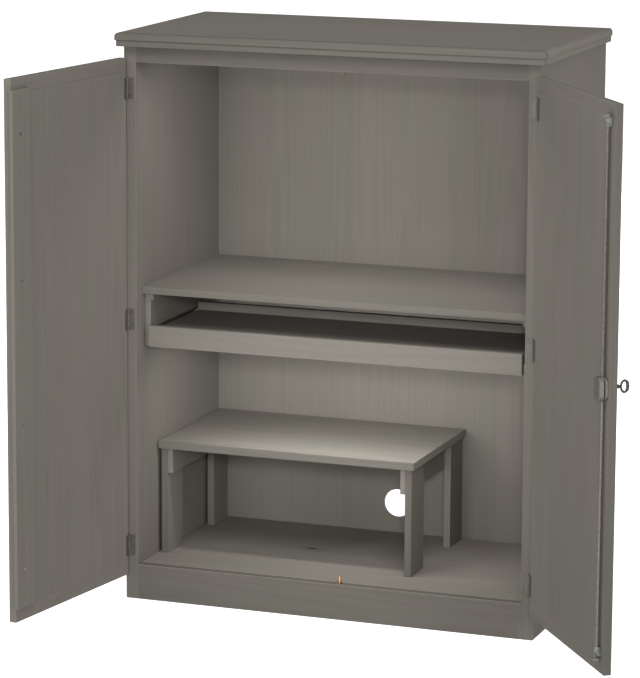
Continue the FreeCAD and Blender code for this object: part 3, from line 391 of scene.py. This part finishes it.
def knot_marks(board, streak, knot):
    """A knot's dark core and the halo round it, each from 0 to 1, in a ragged oval."""
    along, across, size = knot
    du = (board[0] - along) / (size * KNOT_STRETCH)
    dv = (board[1] - across) / size
    gap = (du * du + dv * dv) ** 0.5 + (streak - 0.5) * KNOT_RAGGED
    return 1 - gap.rise(KNOT_CORE, KNOT_RING), 1 - gap.rise(KNOT_RING, KNOT_HALO)


def arris_distance(axes, low, high):
    """Distance from the nearest arris of a board: the middle one of the distances from its planes
    along the three axes, because on the board's skin the smallest is zero."""
    gaps = [(axes[axis] - float(low[axis])).least(float(high[axis]) - axes[axis]).most(0.0)
            for axis in range(3)]
    first, second, third = gaps
    return first.least(second).most(first.most(second).least(third))


def pine(node, grain, turned, knot):
    """Washed pine for one board: rings of the log cut by the board's own planes.

    Along the board the pattern is stretched, so that rings show as long lines and arches. A ring
    darkens slowly and ends at once. Wash gathers in the fibres and is thin along the arrises."""
    # The board's own planes, with an open door's boards turned back to where they hang shut.
    points = points_of(node) @ upright_turn(-turned).T
    low, high = points.min(0), points.max(0)
    extent = high - low
    middle = (low + high) / 2
    others = [axis for axis in range(3) if axis != grain]
    across, through = sorted(others, key=lambda axis: -extent[axis])
    seed = sum(ord(letter) * (place + 3) for place, letter in enumerate(node)) % 997

    material, start = new_material("washed_pine_" + node)
    place = start.node("ShaderNodeTexCoord", output="Object")
    upright = place.node("ShaderNodeMapping", {"Vector": place, "Rotation": (0, 0, -turned)})
    axes = [upright.node("ShaderNodeSeparateXYZ", {"Vector": upright}, output=axis) for axis in range(3)]
    board = [axes[axis] - middle[axis] for axis in (grain, across, through)]
    u, v, w = board

    # Its staves, and three chance numbers for each.
    staves = max(1, round(extent[across] / STAVE_WIDTH))
    width = extent[across] / staves
    number = (v / width + staves / 2).whole()
    chance = number.node("ShaderNodeTexWhiteNoise", {"W": number + seed}, output="Color",
                         noise_dimensions="1D")
    pick = [chance.node("ShaderNodeSeparateXYZ", {"Vector": chance}, output=axis) for axis in range(3)]

    # Rings round the heart of each stave's log, and the fibres and stains along it.
    wander = stretched(board, DRIFT_SCALE, pick[0] * DRIFT_SHIFT, seed).noise(detail=1.5)
    inside = v - (number + (0.5 - staves / 2)) * width
    aside = inside - (pick[1] - 0.5) * width * HEART_ASIDE
    below = w + (pick[2] * HEART_DEEPER + HEART_DEEP)
    radius = (aside * aside + below * below) ** 0.5 + wander * RING_WANDER + u * RING_TAPER
    phase = (radius / RING_WIDTH).fraction()
    late = phase.rise(LATE_BEGINS, LATE_FULL) * (1 - phase.rise(LATE_FALLS, 1.0))

    fibre = stretched(board, FIBRE_SCALE, pick[0] * FIBRE_SHIFT).noise(detail=3, roughness=0.6)
    streak = stretched(board, STREAK_SCALE, pick[1] * STREAK_SHIFT, seed).noise(detail=2)
    cloud = stretched(board, CLOUD_SCALE, seed).noise(detail=1)

    # The wash over them: paler or darker by board as painted light, rubbed thin along the arrises, and
    # with painted shade on the faces that the lamps light most.
    dark = late * LATE_DARK + (fibre - 0.5) * FIBRE_DARK + (streak - 0.5) * STREAK_DARK
    dark = dark + (pick[1] - 0.5) * STAVE_DARK + ALL_DARK
    if knot:
        core, halo = knot_marks(board, streak, knot)
        dark = dark + halo * HALO_DARK

    tint = (cloud - 0.5) * CLOUD_TINT + 0.5 + (pick[0] - 0.5) * STAVE_TINT
    # Painted light: the board's wash made paler or darker for how the lamps light it.
    tone = BOARD_PAINTED_LIGHT.get(node, 1.0)
    warm, cool, grain_dark = (tuple(tone * part for part in colour[:3]) + (1.0,)
                              for colour in (WASH_WARM, WASH_COOL, GRAIN_DARK))
    wash = tint.most(0.0).least(1.0).mix(warm, cool)
    grained = dark.most(0.0).least(1.0).mix(wash, grain_dark)

    rub = 1 - arris_distance(axes, low, high).rise(0.0, RUB_WIDTH)
    base = (rub * (streak * RUB_MORE + RUB_LEAST)).mix(grained, RUBBED)
    if knot:
        base = core.mix(base, KNOT_DARK)
    # Painted shade: the faces that the lamps light most are multiplied darker, evenly near the face.
    if node in PAINTED_FACE_SHADE:
        axis, darker, depth = PAINTED_FACE_SHADE[node]
        painted_shade = 1 - (axes[axis] - float(low[axis])).rise(depth * PAINTED_SHADE_FULL, depth)
        base = painted_shade.node("ShaderNodeMix", {0: painted_shade, 6: base, 7: (darker, darker, darker, 1.0)},
                         output=2, data_type="RGBA", blend_type="MULTIPLY")

    relief = fibre * FIBRE_LIFT + late * LATE_LIFT
    bump = start.node("ShaderNodeBump", {"Strength": GRAIN_BUMP, "Distance": GRAIN_DEPTH,
                                         "Height": relief})
    rough = fibre * FIBRE_ROUGH + late * LATE_ROUGH + WOOD_ROUGH
    shader = {"Base Color": base, "Roughness": rough, "Normal": bump, "Specular IOR Level": 0.0}
    return close_surface(material, start, shader)


def dress_board(node, grain, knot=None):
    """Give a board its washed pine and its eased arrises."""
    board = frame["nodes"][node]
    turned = DOOR_TURN.get(body_of(node), 0.0)
    board.data.materials.clear()
    board.data.materials.append(pine(node, grain, turned, knot))
    board.modifiers.new("weld", "WELD").merge_threshold = MERGE_GAP
    flats = board.modifiers.new("whole_flats", "DECIMATE")
    flats.decimate_type = "DISSOLVE"
    flats.angle_limit = math.radians(FLAT_ANGLE)
    ease = board.modifiers.new("arris", "BEVEL")
    ease.width = ARRIS
    ease.segments = ARRIS_STEPS
    ease.limit_method = "ANGLE"
    ease.angle_limit = math.radians(ARRIS_ANGLE)
    ease.harden_normals = True


CARCASE_GRAIN = {
    "left_side_panel": ALONG_Z, "right_side_panel": ALONG_Z, "back_panel": ALONG_Z,
    "top_slab": ALONG_X, "top_front_rail": ALONG_X, "top_rear_rail": ALONG_X,
    "plinth_front_board": ALONG_X, "plinth_rear_rail": ALONG_X, "monitor_shelf": ALONG_X,
    "left_shelf_ledger": ALONG_Y, "right_shelf_ledger": ALONG_Y,
    "left_slide_hanger": ALONG_Y, "right_slide_hanger": ALONG_Y,
}
for node, grain in CARCASE_GRAIN.items():
    dress_board(node, grain)
dress_board("floor_panel", ALONG_X, FLOOR_KNOT)

DOOR_GRAIN = {
    "left_door_panel": ALONG_Z, "right_door_panel": ALONG_Z, "closing_batten": ALONG_Z,
    "left_door_top_rail": ALONG_X, "left_door_bottom_rail": ALONG_X,
    "right_door_top_rail": ALONG_X, "right_door_bottom_rail": ALONG_X,
}
for node, grain in DOOR_GRAIN.items():
    dress_board(node, grain)

TRAY_GRAIN = {
    "tray_panel": ALONG_X, "tray_fascia": ALONG_X, "tray_rear_lip": ALONG_X,
    "tray_left_rail": ALONG_Y, "tray_right_rail": ALONG_Y,
}
for node, grain in TRAY_GRAIN.items():
    dress_board(node, grain)

dress_board("stand_top", ALONG_X)
for side in ("left", "right"):
    dress_board("stand_%s_rail" % side, ALONG_Y)
    for end in ("front", "rear"):
        dress_board("stand_%s_%s_leg" % (side, end), ALONG_Z)


# ---------------------------------------------------------------- hinges
# Three lacquered steel butt hinges a side. One leaf is screwed to the edge of the carcase and the
# other to the inner face of the door, with three countersunk screws each.

BRONZE_DARK = screen_colour(66, 63, 57)
BRONZE_WORN = screen_colour(88, 84, 76)
HINGE_BOTTOMS = (0.107, 0.6565, 1.206)
HINGE_SCREW_HEIGHTS = (0.0085, 0.025, 0.0415)
HINGE_SCREW_X = 0.4896
HINGE_SCREW_RADIUS = 0.0028
FRAME_LEAF_FACE = -0.0016
DOOR_LEAF_FACE = -0.0020
HEAD_RISE = 0.0003
HINGE_HEAD_RISE = 0.00015

# A screw head, in parts of its radius where no metres are meant.
HEAD_SINK = 0.0006
HEAD_LINES = (-1, -0.9, -0.72, -0.56, -0.5, -0.3, -0.17, -0.12, 0)
HEAD_FALL = 0.9
SLOT_HALF_WIDTH, SLOT_REACH = 0.15, 0.53
SLOT_DEPTH, SLOT_SHALLOWS = 0.45, 0.4
HEAD_TURN, HEAD_TURN_STEP = 0.7, 2.1

# Tarnish and brushing, in repeats per metre, and how much each wears, roughens and lifts metal.
TARNISH_SCALE = 170
BRUSH_ALONG, BRUSH_ACROSS = 60, 1500
TARNISH_WEAR, BRUSH_WEAR = 0.65, 0.35
WEAR_BEGINS, WEAR_FULL = 0.38, 0.66
TARNISH_ROUGH, BRUSH_ROUGH = 0.22, 0.1
METAL_BUMP, METAL_DEPTH = 0.25, 0.0001
METAL_EDGE = 0.0002
METAL_EDGE_STEPS = 2
METAL_EDGE_ANGLE = 40

INWARD = np.array([0.0, 1.0, 0.0])
HINGE_PIN = {joint["child"]: np.array(joint["pos_m"][:2] + [0.0]) for joint in frame["joints"]
             if joint["child"] in DOOR_TURN}


def metal(name, dull, worn, metallic, rough, along=ALONG_Z):
    """Metal with cloudy tarnish, fine brushing along one axis, and wear that follows both."""
    material, start = new_material(name)
    place = start.node("ShaderNodeTexCoord", output="Object")
    axes = [place.node("ShaderNodeSeparateXYZ", {"Vector": place}, output=axis) for axis in range(3)]
    even = {axis: axes[axis] * TARNISH_SCALE for axis in range(3)}
    cloud = start.node("ShaderNodeCombineXYZ", even).noise(detail=4, roughness=0.65)
    drawn_out = {axis: axes[axis] * (BRUSH_ALONG if axis == along else BRUSH_ACROSS)
                 for axis in range(3)}
    brushing = start.node("ShaderNodeCombineXYZ", drawn_out).noise(detail=2)
    wear = (cloud * TARNISH_WEAR + brushing * BRUSH_WEAR).rise(WEAR_BEGINS, WEAR_FULL)
    bump = start.node("ShaderNodeBump", {"Strength": METAL_BUMP, "Distance": METAL_DEPTH,
                                         "Height": cloud * 0.5 + brushing * 0.5})
    smoothest = rough - (TARNISH_ROUGH + BRUSH_ROUGH) / 2
    shader = {"Base Color": wear.mix(dull, worn), "Metallic": metallic, "Normal": bump,
              "Roughness": cloud * TARNISH_ROUGH + brushing * BRUSH_ROUGH + smoothest}
    return close_surface(material, start, shader)


def dress_metal(material, *nodes, edge=METAL_EDGE):
    """Give metal nodes their finish and slightly broken edges."""
    for node in nodes:
        piece = frame["nodes"][node]
        piece.data.materials.clear()
        piece.data.materials.append(material)
        piece.modifiers.new("weld", "WELD").merge_threshold = MERGE_GAP
        ease = piece.modifiers.new("edge", "BEVEL")
        ease.width = edge
        ease.segments = METAL_EDGE_STEPS
        ease.limit_method = "ANGLE"
        ease.angle_limit = math.radians(METAL_EDGE_ANGLE)
        ease.harden_normals = True


def hung(door, points):
    """Points given on the shut door, carried round its hinge pins to where the open door stands."""
    pin = HINGE_PIN[door]
    return (np.asarray(points, float) - pin) @ upright_turn(DOOR_TURN[door]).T + pin


def inward_of(door):
    """Direction that the inner face of an open door looks to."""
    return upright_turn(DOOR_TURN[door]) @ INWARD


def grid_faces(rows, columns, first=0, around=False, closed=False):
    """Four-sided faces between neighbours of a grid of points. Each row may close on itself
    (around), and the last row may join the first (closed)."""
    numbers = first + np.arange(rows * columns).reshape(rows, columns)
    if around:
        numbers = np.hstack([numbers, numbers[:, :1]])
    if closed:
        numbers = np.vstack([numbers, numbers[:1]])
    quads = [numbers[:-1, :-1], numbers[:-1, 1:], numbers[1:, 1:], numbers[1:, :-1]]
    return np.stack(quads, axis=-1).reshape(-1, 4)


def new_piece(name, points, faces, body, material, smooth=True):
    """Mesh object of a list of points and of faces, riding on a body of the frame."""
    mesh = bpy.data.meshes.new(name)
    mesh.from_pydata(np.reshape(points, (-1, 3)).tolist(), [], [list(map(int, face)) for face in faces])
    mesh.materials.append(material)
    mesh.polygons.foreach_set("use_smooth", [smooth] * len(mesh.polygons))
    mesh.update()
    piece = bpy.data.objects.new(name, mesh)
    bpy.context.scene.collection.objects.link(piece)
    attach(piece, body)
    return piece


def facing(axis):
    """Matrix that turns points made about Z to look along the given direction."""
    return np.array(Vector(axis).to_track_quat("Z", "Y").to_matrix())


def screw_heads(name, body, places, axis, radius, material, rise=HEAD_RISE):
    """Cross-slotted screw heads in one mesh.

    A square grid s, t is drawn round onto a disc by x = s * sqrt(1 - t * t / 2), and y likewise.
    The dome falls with the square of the distance from the middle, and two crossed slots, deepest
    in the middle, are sunk in it. A flat grid closes the head underneath."""
    half = np.array(HEAD_LINES)
    lines = np.concatenate([half, -half[-2::-1]])
    s, t = np.meshgrid(lines, lines, indexing="ij")
    x = s * np.sqrt(1 - t * t / 2)
    y = t * np.sqrt(1 - s * s / 2)
    narrow, reach = np.minimum(abs(s), abs(t)), np.maximum(abs(s), abs(t))
    in_slots = (narrow < SLOT_HALF_WIDTH) & (reach < SLOT_REACH)
    dome = rise * (1 - HEAD_FALL * (x * x + y * y))
    height = dome - in_slots * radius * (SLOT_DEPTH - SLOT_SHALLOWS * reach)
    top = np.stack([x * radius, y * radius, height], axis=-1)
    under = np.stack([x * radius, y * radius, np.full_like(x, -HEAD_SINK)], axis=-1)
    count = len(lines)
    faces = [grid_faces(count, count)[:, ::-1], grid_faces(count, count, first=count * count)]
    edge = np.arange(count * count).reshape(count, count)
    rim = np.concatenate([edge[0, :-1], edge[:-1, -1], edge[-1, :0:-1], edge[:0:-1, 0]])
    after = np.roll(rim, -1)
    faces.append(np.stack([rim, after, after + count * count, rim + count * count], axis=-1))
    faces = np.concatenate(faces)
    head = np.concatenate([top.reshape(-1, 3), under.reshape(-1, 3)])
    points = []
    for number, place in enumerate(places):
        spin = upright_turn(HEAD_TURN + HEAD_TURN_STEP * number)
        points.append(head @ spin.T @ facing(axis).T + place)
    all_faces = np.concatenate([faces + number * len(head) for number in range(len(places))])
    return new_piece(name, np.concatenate(points), all_faces, body, material, smooth=False)


bronze = metal("dark_bronze_lacquer", BRONZE_DARK, BRONZE_WORN, metallic=0.3, rough=0.5)
for side, sign in (("left", -1), ("right", 1)):
    door = side + "_door"
    dress_metal(bronze, side + "_hinge_frame_leaves", side + "_hinge_door_leaves")
    rows = [bottom + height for bottom in HINGE_BOTTOMS for height in HINGE_SCREW_HEIGHTS]
    on_frame = [np.array([sign * HINGE_SCREW_X, FRAME_LEAF_FACE, row]) for row in rows]
    screw_heads(side + "_hinge_frame_screws", "cabinet", on_frame, (0, -1, 0), HINGE_SCREW_RADIUS,
                bronze, HINGE_HEAD_RISE)
    on_door = hung(door, [(sign * HINGE_SCREW_X, DOOR_LEAF_FACE, row) for row in rows])
    screw_heads(side + "_hinge_door_screws", door, on_door, inward_of(door), HINGE_SCREW_RADIUS,
                bronze, HINGE_HEAD_RISE)


# ---------------------------------------------------------------- closing batten's screws
# Four zinc-plated steel screws hold the pine batten to the free edge of the left door. They are
# driven in from the inside, and their heads stand just proud.

BATTEN_SCREW_X = -0.028
BATTEN_FACE = 0.0054
BATTEN_SCREW_HEIGHTS = (1.179, 0.848, 0.518, 0.183)
BATTEN_SCREW_RADIUS = 0.0036
SCREW_DULL = screen_colour(96, 92, 86)
SCREW_BRIGHT = screen_colour(190, 186, 178)

screw_steel = metal("zinc_plated_screw", SCREW_DULL, SCREW_BRIGHT, metallic=0.9, rough=0.34)
on_batten = [(BATTEN_SCREW_X, BATTEN_FACE, height) for height in BATTEN_SCREW_HEIGHTS]
screw_heads("batten_screws", "left_door", hung("left_door", on_batten), inward_of("left_door"),
            BATTEN_SCREW_RADIUS, screw_steel)


# ---------------------------------------------------------------- tray slides
# Rolled steel channels in brown enamel, one on the cabinet and one on the tray at each side, with
# three screws in each. White nylon rollers turn on riveted studs.

ENAMEL_DARK = screen_colour(58, 46, 38)
ENAMEL_LIGHT = screen_colour(88, 72, 60)
NYLON_DULL = screen_colour(196, 193, 182)
NYLON_PALE = screen_colour(226, 224, 214)
ROLLERS = ("left_front_roller", "left_rear_roller", "right_front_roller", "right_rear_roller")
CHANNEL_FACE, CHANNEL_SCREW_HEIGHT = 0.4628, 0.6265
RUNNER_FACE, RUNNER_SCREW_HEIGHT = 0.4517, 0.6287
CHANNEL_SCREWS_BACK = (0.15, 0.25, 0.33)
RUNNER_SCREWS_BACK = (0.09, 0.17, 0.25)
SLIDE_SCREW_RADIUS = 0.0024
ROLLER_EDGE = 0.0004

enamel = metal("brown_slide_enamel", ENAMEL_DARK, ENAMEL_LIGHT, metallic=0.15, rough=0.4,
               along=ALONG_Y)
dress_metal(enamel, "left_slide_channel", "right_slide_channel", "left_tray_runner", "right_tray_runner")
nylon = metal("moulded_nylon", NYLON_DULL, NYLON_PALE, metallic=0.0, rough=0.5)
dress_metal(nylon, *ROLLERS, edge=ROLLER_EDGE)
for side, sign in (("left", -1), ("right", 1)):
    on_channel = [np.array([sign * CHANNEL_FACE, back, CHANNEL_SCREW_HEIGHT])
                  for back in CHANNEL_SCREWS_BACK]
    screw_heads(side + "_channel_screws", "cabinet", on_channel, (-sign, 0, 0), SLIDE_SCREW_RADIUS,
                screw_steel)
    on_runner = [np.array([sign * RUNNER_FACE, back, RUNNER_SCREW_HEIGHT])
                 for back in RUNNER_SCREWS_BACK]
    screw_heads(side + "_runner_screws", "keyboard_tray", on_runner, (sign, 0, 0),
                SLIDE_SCREW_RADIUS, screw_steel)


# ---------------------------------------------------------------- keeps
# A small brass plate with a round pin stands on the plinth board and another hangs under the front
# rail, and the claws of the rods hook round them. The upper one's brass is painted shade: a darker,
# less shiny copy for the shadow under the front rail.

BRASS_DULL = screen_colour(128, 88, 52)
BRASS_RUBBED = screen_colour(206, 156, 100)
# Painted shade: the same brass made darker and less shiny for the upper keep in the rail's shadow.
UPPER_BRASS_SHADED_DULL = screen_colour(92, 84, 70)
UPPER_BRASS_SHADED_RUBBED = screen_colour(122, 108, 86)

brass = metal("coppery_brass", BRASS_DULL, BRASS_RUBBED, metallic=0.9, rough=0.36)
shaded_brass = metal("tarnished_brass", UPPER_BRASS_SHADED_DULL, UPPER_BRASS_SHADED_RUBBED, metallic=0.6,
                    rough=0.45)
dress_metal(brass, "lower_keep")
dress_metal(shaded_brass, "upper_keep")


# ---------------------------------------------------------------- rod lock
# The key turns a hub in a pressed steel case, and the hub turns two steel rods, each with a claw
# at its far end. Zinc guides hold the rods to the door.

CASE_DULL = screen_colour(78, 74, 69)
CASE_WORN = screen_colour(95, 90, 84)
ZINC_DULL = screen_colour(66, 68, 62)
ZINC_BRIGHT = screen_colour(118, 121, 112)
ROD_DARK = screen_colour(72, 69, 62)
ROD_WORN = screen_colour(100, 96, 88)
ROD_X = 0.0235
GUIDE_SCREW_ASIDE = 0.0095
GUIDE_SCREW_HEIGHTS = (0.110, 1.263)
GUIDE_TAB_FACE = -0.0021
GUIDE_SCREW_RADIUS = 0.0022
CASE_FACE = 0.0164
CASE_MIDDLE = (0.0265, 0.690)
CASE_SCREWS = ((-0.0095, 0.0185), (0.0095, 0.0185), (-0.0095, -0.0185), (0.0095, -0.0185))

case_steel = metal("satin_case_steel", CASE_DULL, CASE_WORN, metallic=0.12, rough=0.55)
zinc = metal("bright_zinc", ZINC_DULL, ZINC_BRIGHT, metallic=0.25, rough=0.42)
rod_steel = metal("burnished_rod_steel", ROD_DARK, ROD_WORN, metallic=0.25, rough=0.45)
dress_metal(case_steel, "lock_case")
dress_metal(zinc, "rod_guides")
dress_metal(rod_steel, "lower_lock_rod", "upper_lock_rod", "lock_rod_wheel", "lock_hub")
inward = inward_of("right_door")
guide_screws = [(ROD_X + aside, GUIDE_TAB_FACE, height) for height in GUIDE_SCREW_HEIGHTS
                for aside in (-GUIDE_SCREW_ASIDE, GUIDE_SCREW_ASIDE)]
screw_heads("guide_screws", "right_door", hung("right_door", guide_screws), inward,
            GUIDE_SCREW_RADIUS, zinc)
case_screws = [(CASE_MIDDLE[0] + aside, CASE_FACE, CASE_MIDDLE[1] + up) for aside, up in CASE_SCREWS]
screw_heads("lock_case_screws", "right_door", hung("right_door", case_screws), inward,
            GUIDE_SCREW_RADIUS, case_steel)


# ---------------------------------------------------------------- key and keyhole plate
# A cast key in antiqued iron: a plain thin limb next to the door, a heavy far limb with three lobes
# and a small knob, a beaded collar, and a hollow shank with a notched bit. A round plate with a
# raised rim frames the keyhole.

IRON_DARK = screen_colour(26, 25, 22)
IRON_RUBBED = screen_colour(58, 55, 49)
# Where the key's axis lies on the shut door, and its bow along that axis.
KEY_X, KEY_Z = 0.0369, 0.690
BOW_MIDDLE = -0.0511
BOW_HALF_LENGTH, BOW_HALF_HEIGHT = 0.0115, 0.0155
THIN_LIMB, THICK_LIMB, LOBE = 0.0028, 0.0008, 0.0012
BOW_FLATNESS = 0.0017
LOBE_SPREAD, LOBE_WIDTH = 0.62, 0.2
BOW_STEPS, BOW_SECTION_STEPS = 96, 16
KNOB_RADIUS = 0.0019
KNOB_STEPS, KNOB_LATITUDES = 16, np.radians(np.linspace(-80, 80, 9))
# Radius and place of the collar and shank, from the bow to the hollow tip.
SHANK = ((0.0018, -0.0404), (0.0026, -0.0396), (0.0031, -0.0390), (0.0041, -0.0384),
         (0.0048, -0.0376), (0.0050, -0.0367), (0.0048, -0.0358), (0.0041, -0.0350),
         (0.0033, -0.0345), (0.0036, -0.0341), (0.0038, -0.0335), (0.0036, -0.0329),
         (0.0029, -0.0324), (0.0029, -0.0264), (0.0042, -0.0260), (0.0048, -0.0252),
         (0.0048, -0.0241), (0.0040, -0.0235), (0.0026, -0.0232), (0.0026, 0.0070), (0.0023, 0.0073),
         (0.0012, 0.0073), (0.0012, 0.0033))
SHANK_STEPS = 28
# The bit's corners, along the shank and out from it.
BIT_HALF_THICKNESS = 0.001
BIT_OUTLINE = ((0.0072, -0.0020), (0.0072, -0.0050), (0.0050, -0.0050), (0.0050, -0.0038),
               (0.0038, -0.0038), (0.0038, -0.0050), (0.0004, -0.0050), (0.0004, -0.0020))
# Radius and place of the plate's rim, then of its two pins.
PLATE_FACE = -0.0231
PLATE_RIM = ((0.01195, 0.0002), (0.01195, 0.0006), (0.0106, 0.0006), (0.0106, -0.0001),
             (0.0109, -0.0005), (0.0114, -0.0006), (0.0118, -0.0003))
PLATE_RIM_STEPS = 64
PLATE_PIN_ASIDE = 0.0084
PLATE_PIN = ((0.0001, -0.0007), (0.0006, -0.0006), (0.00095, -0.0003), (0.0011, 0.0001),
             (0.0011, 0.0006))
PLATE_PIN_STEPS = 14

iron = metal("antiqued_iron", IRON_DARK, IRON_RUBBED, metallic=0.25, rough=0.46)


def turned_shape(profile, steps):
    """Points (rows, steps, 3) of a profile of radius and height carried round the Z axis."""
    radius, height = np.asarray(profile, float).T
    angle = np.arange(steps) * 2 * math.pi / steps
    ring = np.stack([np.cos(angle), np.sin(angle)], axis=-1)
    flat = radius[:, None, None] * ring[None]
    tall = np.broadcast_to(height[:, None, None], flat.shape[:2] + (1,))
    return np.concatenate([flat, tall], axis=-1)


def turned_faces(rows, steps, first=0):
    """Faces of a turned shape, with a flat cap on its first and its last ring."""
    sides = [list(face) for face in grid_faces(rows, steps, first, around=True)]
    bottom = [first + step for step in range(steps)][::-1]
    top = [first + (rows - 1) * steps + step for step in range(steps)]
    return sides + [bottom, top]


def on_key(points):
    """Points with the shank along Z, laid along the shut door's Y, and carried to the open door."""
    x, y, z = np.moveaxis(np.asarray(points, float), -1, 0)
    return hung("right_door", np.stack([KEY_X - x, z, KEY_Z + y], axis=-1))


def bow_ring(around, section):
    """Closed tube round an oval. In the oval's plane its radius grows towards the far limb with
    the square of (1 - cos) / 2, and swells in three lobes there; across that plane it is even."""
    turn = np.arange(around) * 2 * math.pi / around
    far = (1 - np.cos(turn)) / 2
    away = abs(turn - math.pi)
    lobes = np.exp(-(away / LOBE_WIDTH) ** 2) + np.exp(-((away - LOBE_SPREAD) / LOBE_WIDTH) ** 2)
    wide = THIN_LIMB + THICK_LIMB * far ** 2 + LOBE * lobes * far
    length = BOW_HALF_LENGTH - THIN_LIMB - (THICK_LIMB + LOBE) * far ** 2
    height = BOW_HALF_HEIGHT - THIN_LIMB - THICK_LIMB * far ** 2
    line = np.stack([0 * turn, height * np.sin(turn), BOW_MIDDLE + length * np.cos(turn)], axis=-1)
    ahead = np.roll(line, -1, axis=0) - np.roll(line, 1, axis=0)
    ahead /= np.linalg.norm(ahead, axis=1)[:, None]
    flat = np.array([1.0, 0.0, 0.0])
    outward = np.cross(ahead, flat)
    angle = np.arange(section) * 2 * math.pi / section
    bulge = outward[:, None] * (wide[:, None] * np.cos(angle))[..., None]
    return line[:, None] + bulge + flat * (BOW_FLATNESS * np.sin(angle))[None, :, None]


ring = bow_ring(BOW_STEPS, BOW_SECTION_STEPS)
key_points = [ring.reshape(-1, 3)]
key_faces = [list(face)[::-1]
             for face in grid_faces(BOW_STEPS, BOW_SECTION_STEPS, around=True, closed=True)]
knob_middle = BOW_MIDDLE - BOW_HALF_LENGTH + KNOB_RADIUS
knob = np.stack([KNOB_RADIUS * np.cos(KNOB_LATITUDES),
                 KNOB_RADIUS * np.sin(KNOB_LATITUDES) + knob_middle], axis=-1)
for profile, steps in ((knob, KNOB_STEPS), (SHANK, SHANK_STEPS)):
    first = sum(len(points) for points in key_points)
    key_faces += turned_faces(len(profile), steps, first)
    key_points.append(turned_shape(profile, steps).reshape(-1, 3))

# The bit: its outline on two sides, walls between them, and a flat face on each side.
first = sum(len(points) for points in key_points)
outline = np.array(BIT_OUTLINE)
corners = len(outline)
for sideways in (-BIT_HALF_THICKNESS, BIT_HALF_THICKNESS):
    key_points.append(np.stack([np.full(corners, sideways), outline[:, 1], outline[:, 0]], axis=-1))
near = np.arange(corners) + first
after = np.roll(near, -1)
key_faces += np.stack([near, after, after + corners, near + corners], axis=-1).tolist()
key_faces += [near[::-1].tolist(), (near + corners).tolist()]
ornate_key = new_piece("ornate_key", on_key(np.concatenate(key_points)), key_faces, "key", iron)
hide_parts("key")

dress_metal(iron, "key_escutcheon")
rim = turned_shape(PLATE_RIM, PLATE_RIM_STEPS) + np.array([0.0, 0.0, PLATE_FACE])
rim_faces = grid_faces(len(PLATE_RIM), PLATE_RIM_STEPS, around=True, closed=True)
new_piece("keyhole_plate_rim", on_key(rim), rim_faces, "right_door", iron)
pin_points, pin_faces = [], []
for number, aside in enumerate((-PLATE_PIN_ASIDE, PLATE_PIN_ASIDE)):
    pin = turned_shape(PLATE_PIN, PLATE_PIN_STEPS) + np.array([aside, 0.0, PLATE_FACE])
    pin_points.append(pin.reshape(-1, 3))
    pin_faces += turned_faces(len(PLATE_PIN), PLATE_PIN_STEPS, number * len(pin_points[0]))
new_piece("keyhole_plate_pins", on_key(np.concatenate(pin_points)), pin_faces, "right_door", iron)
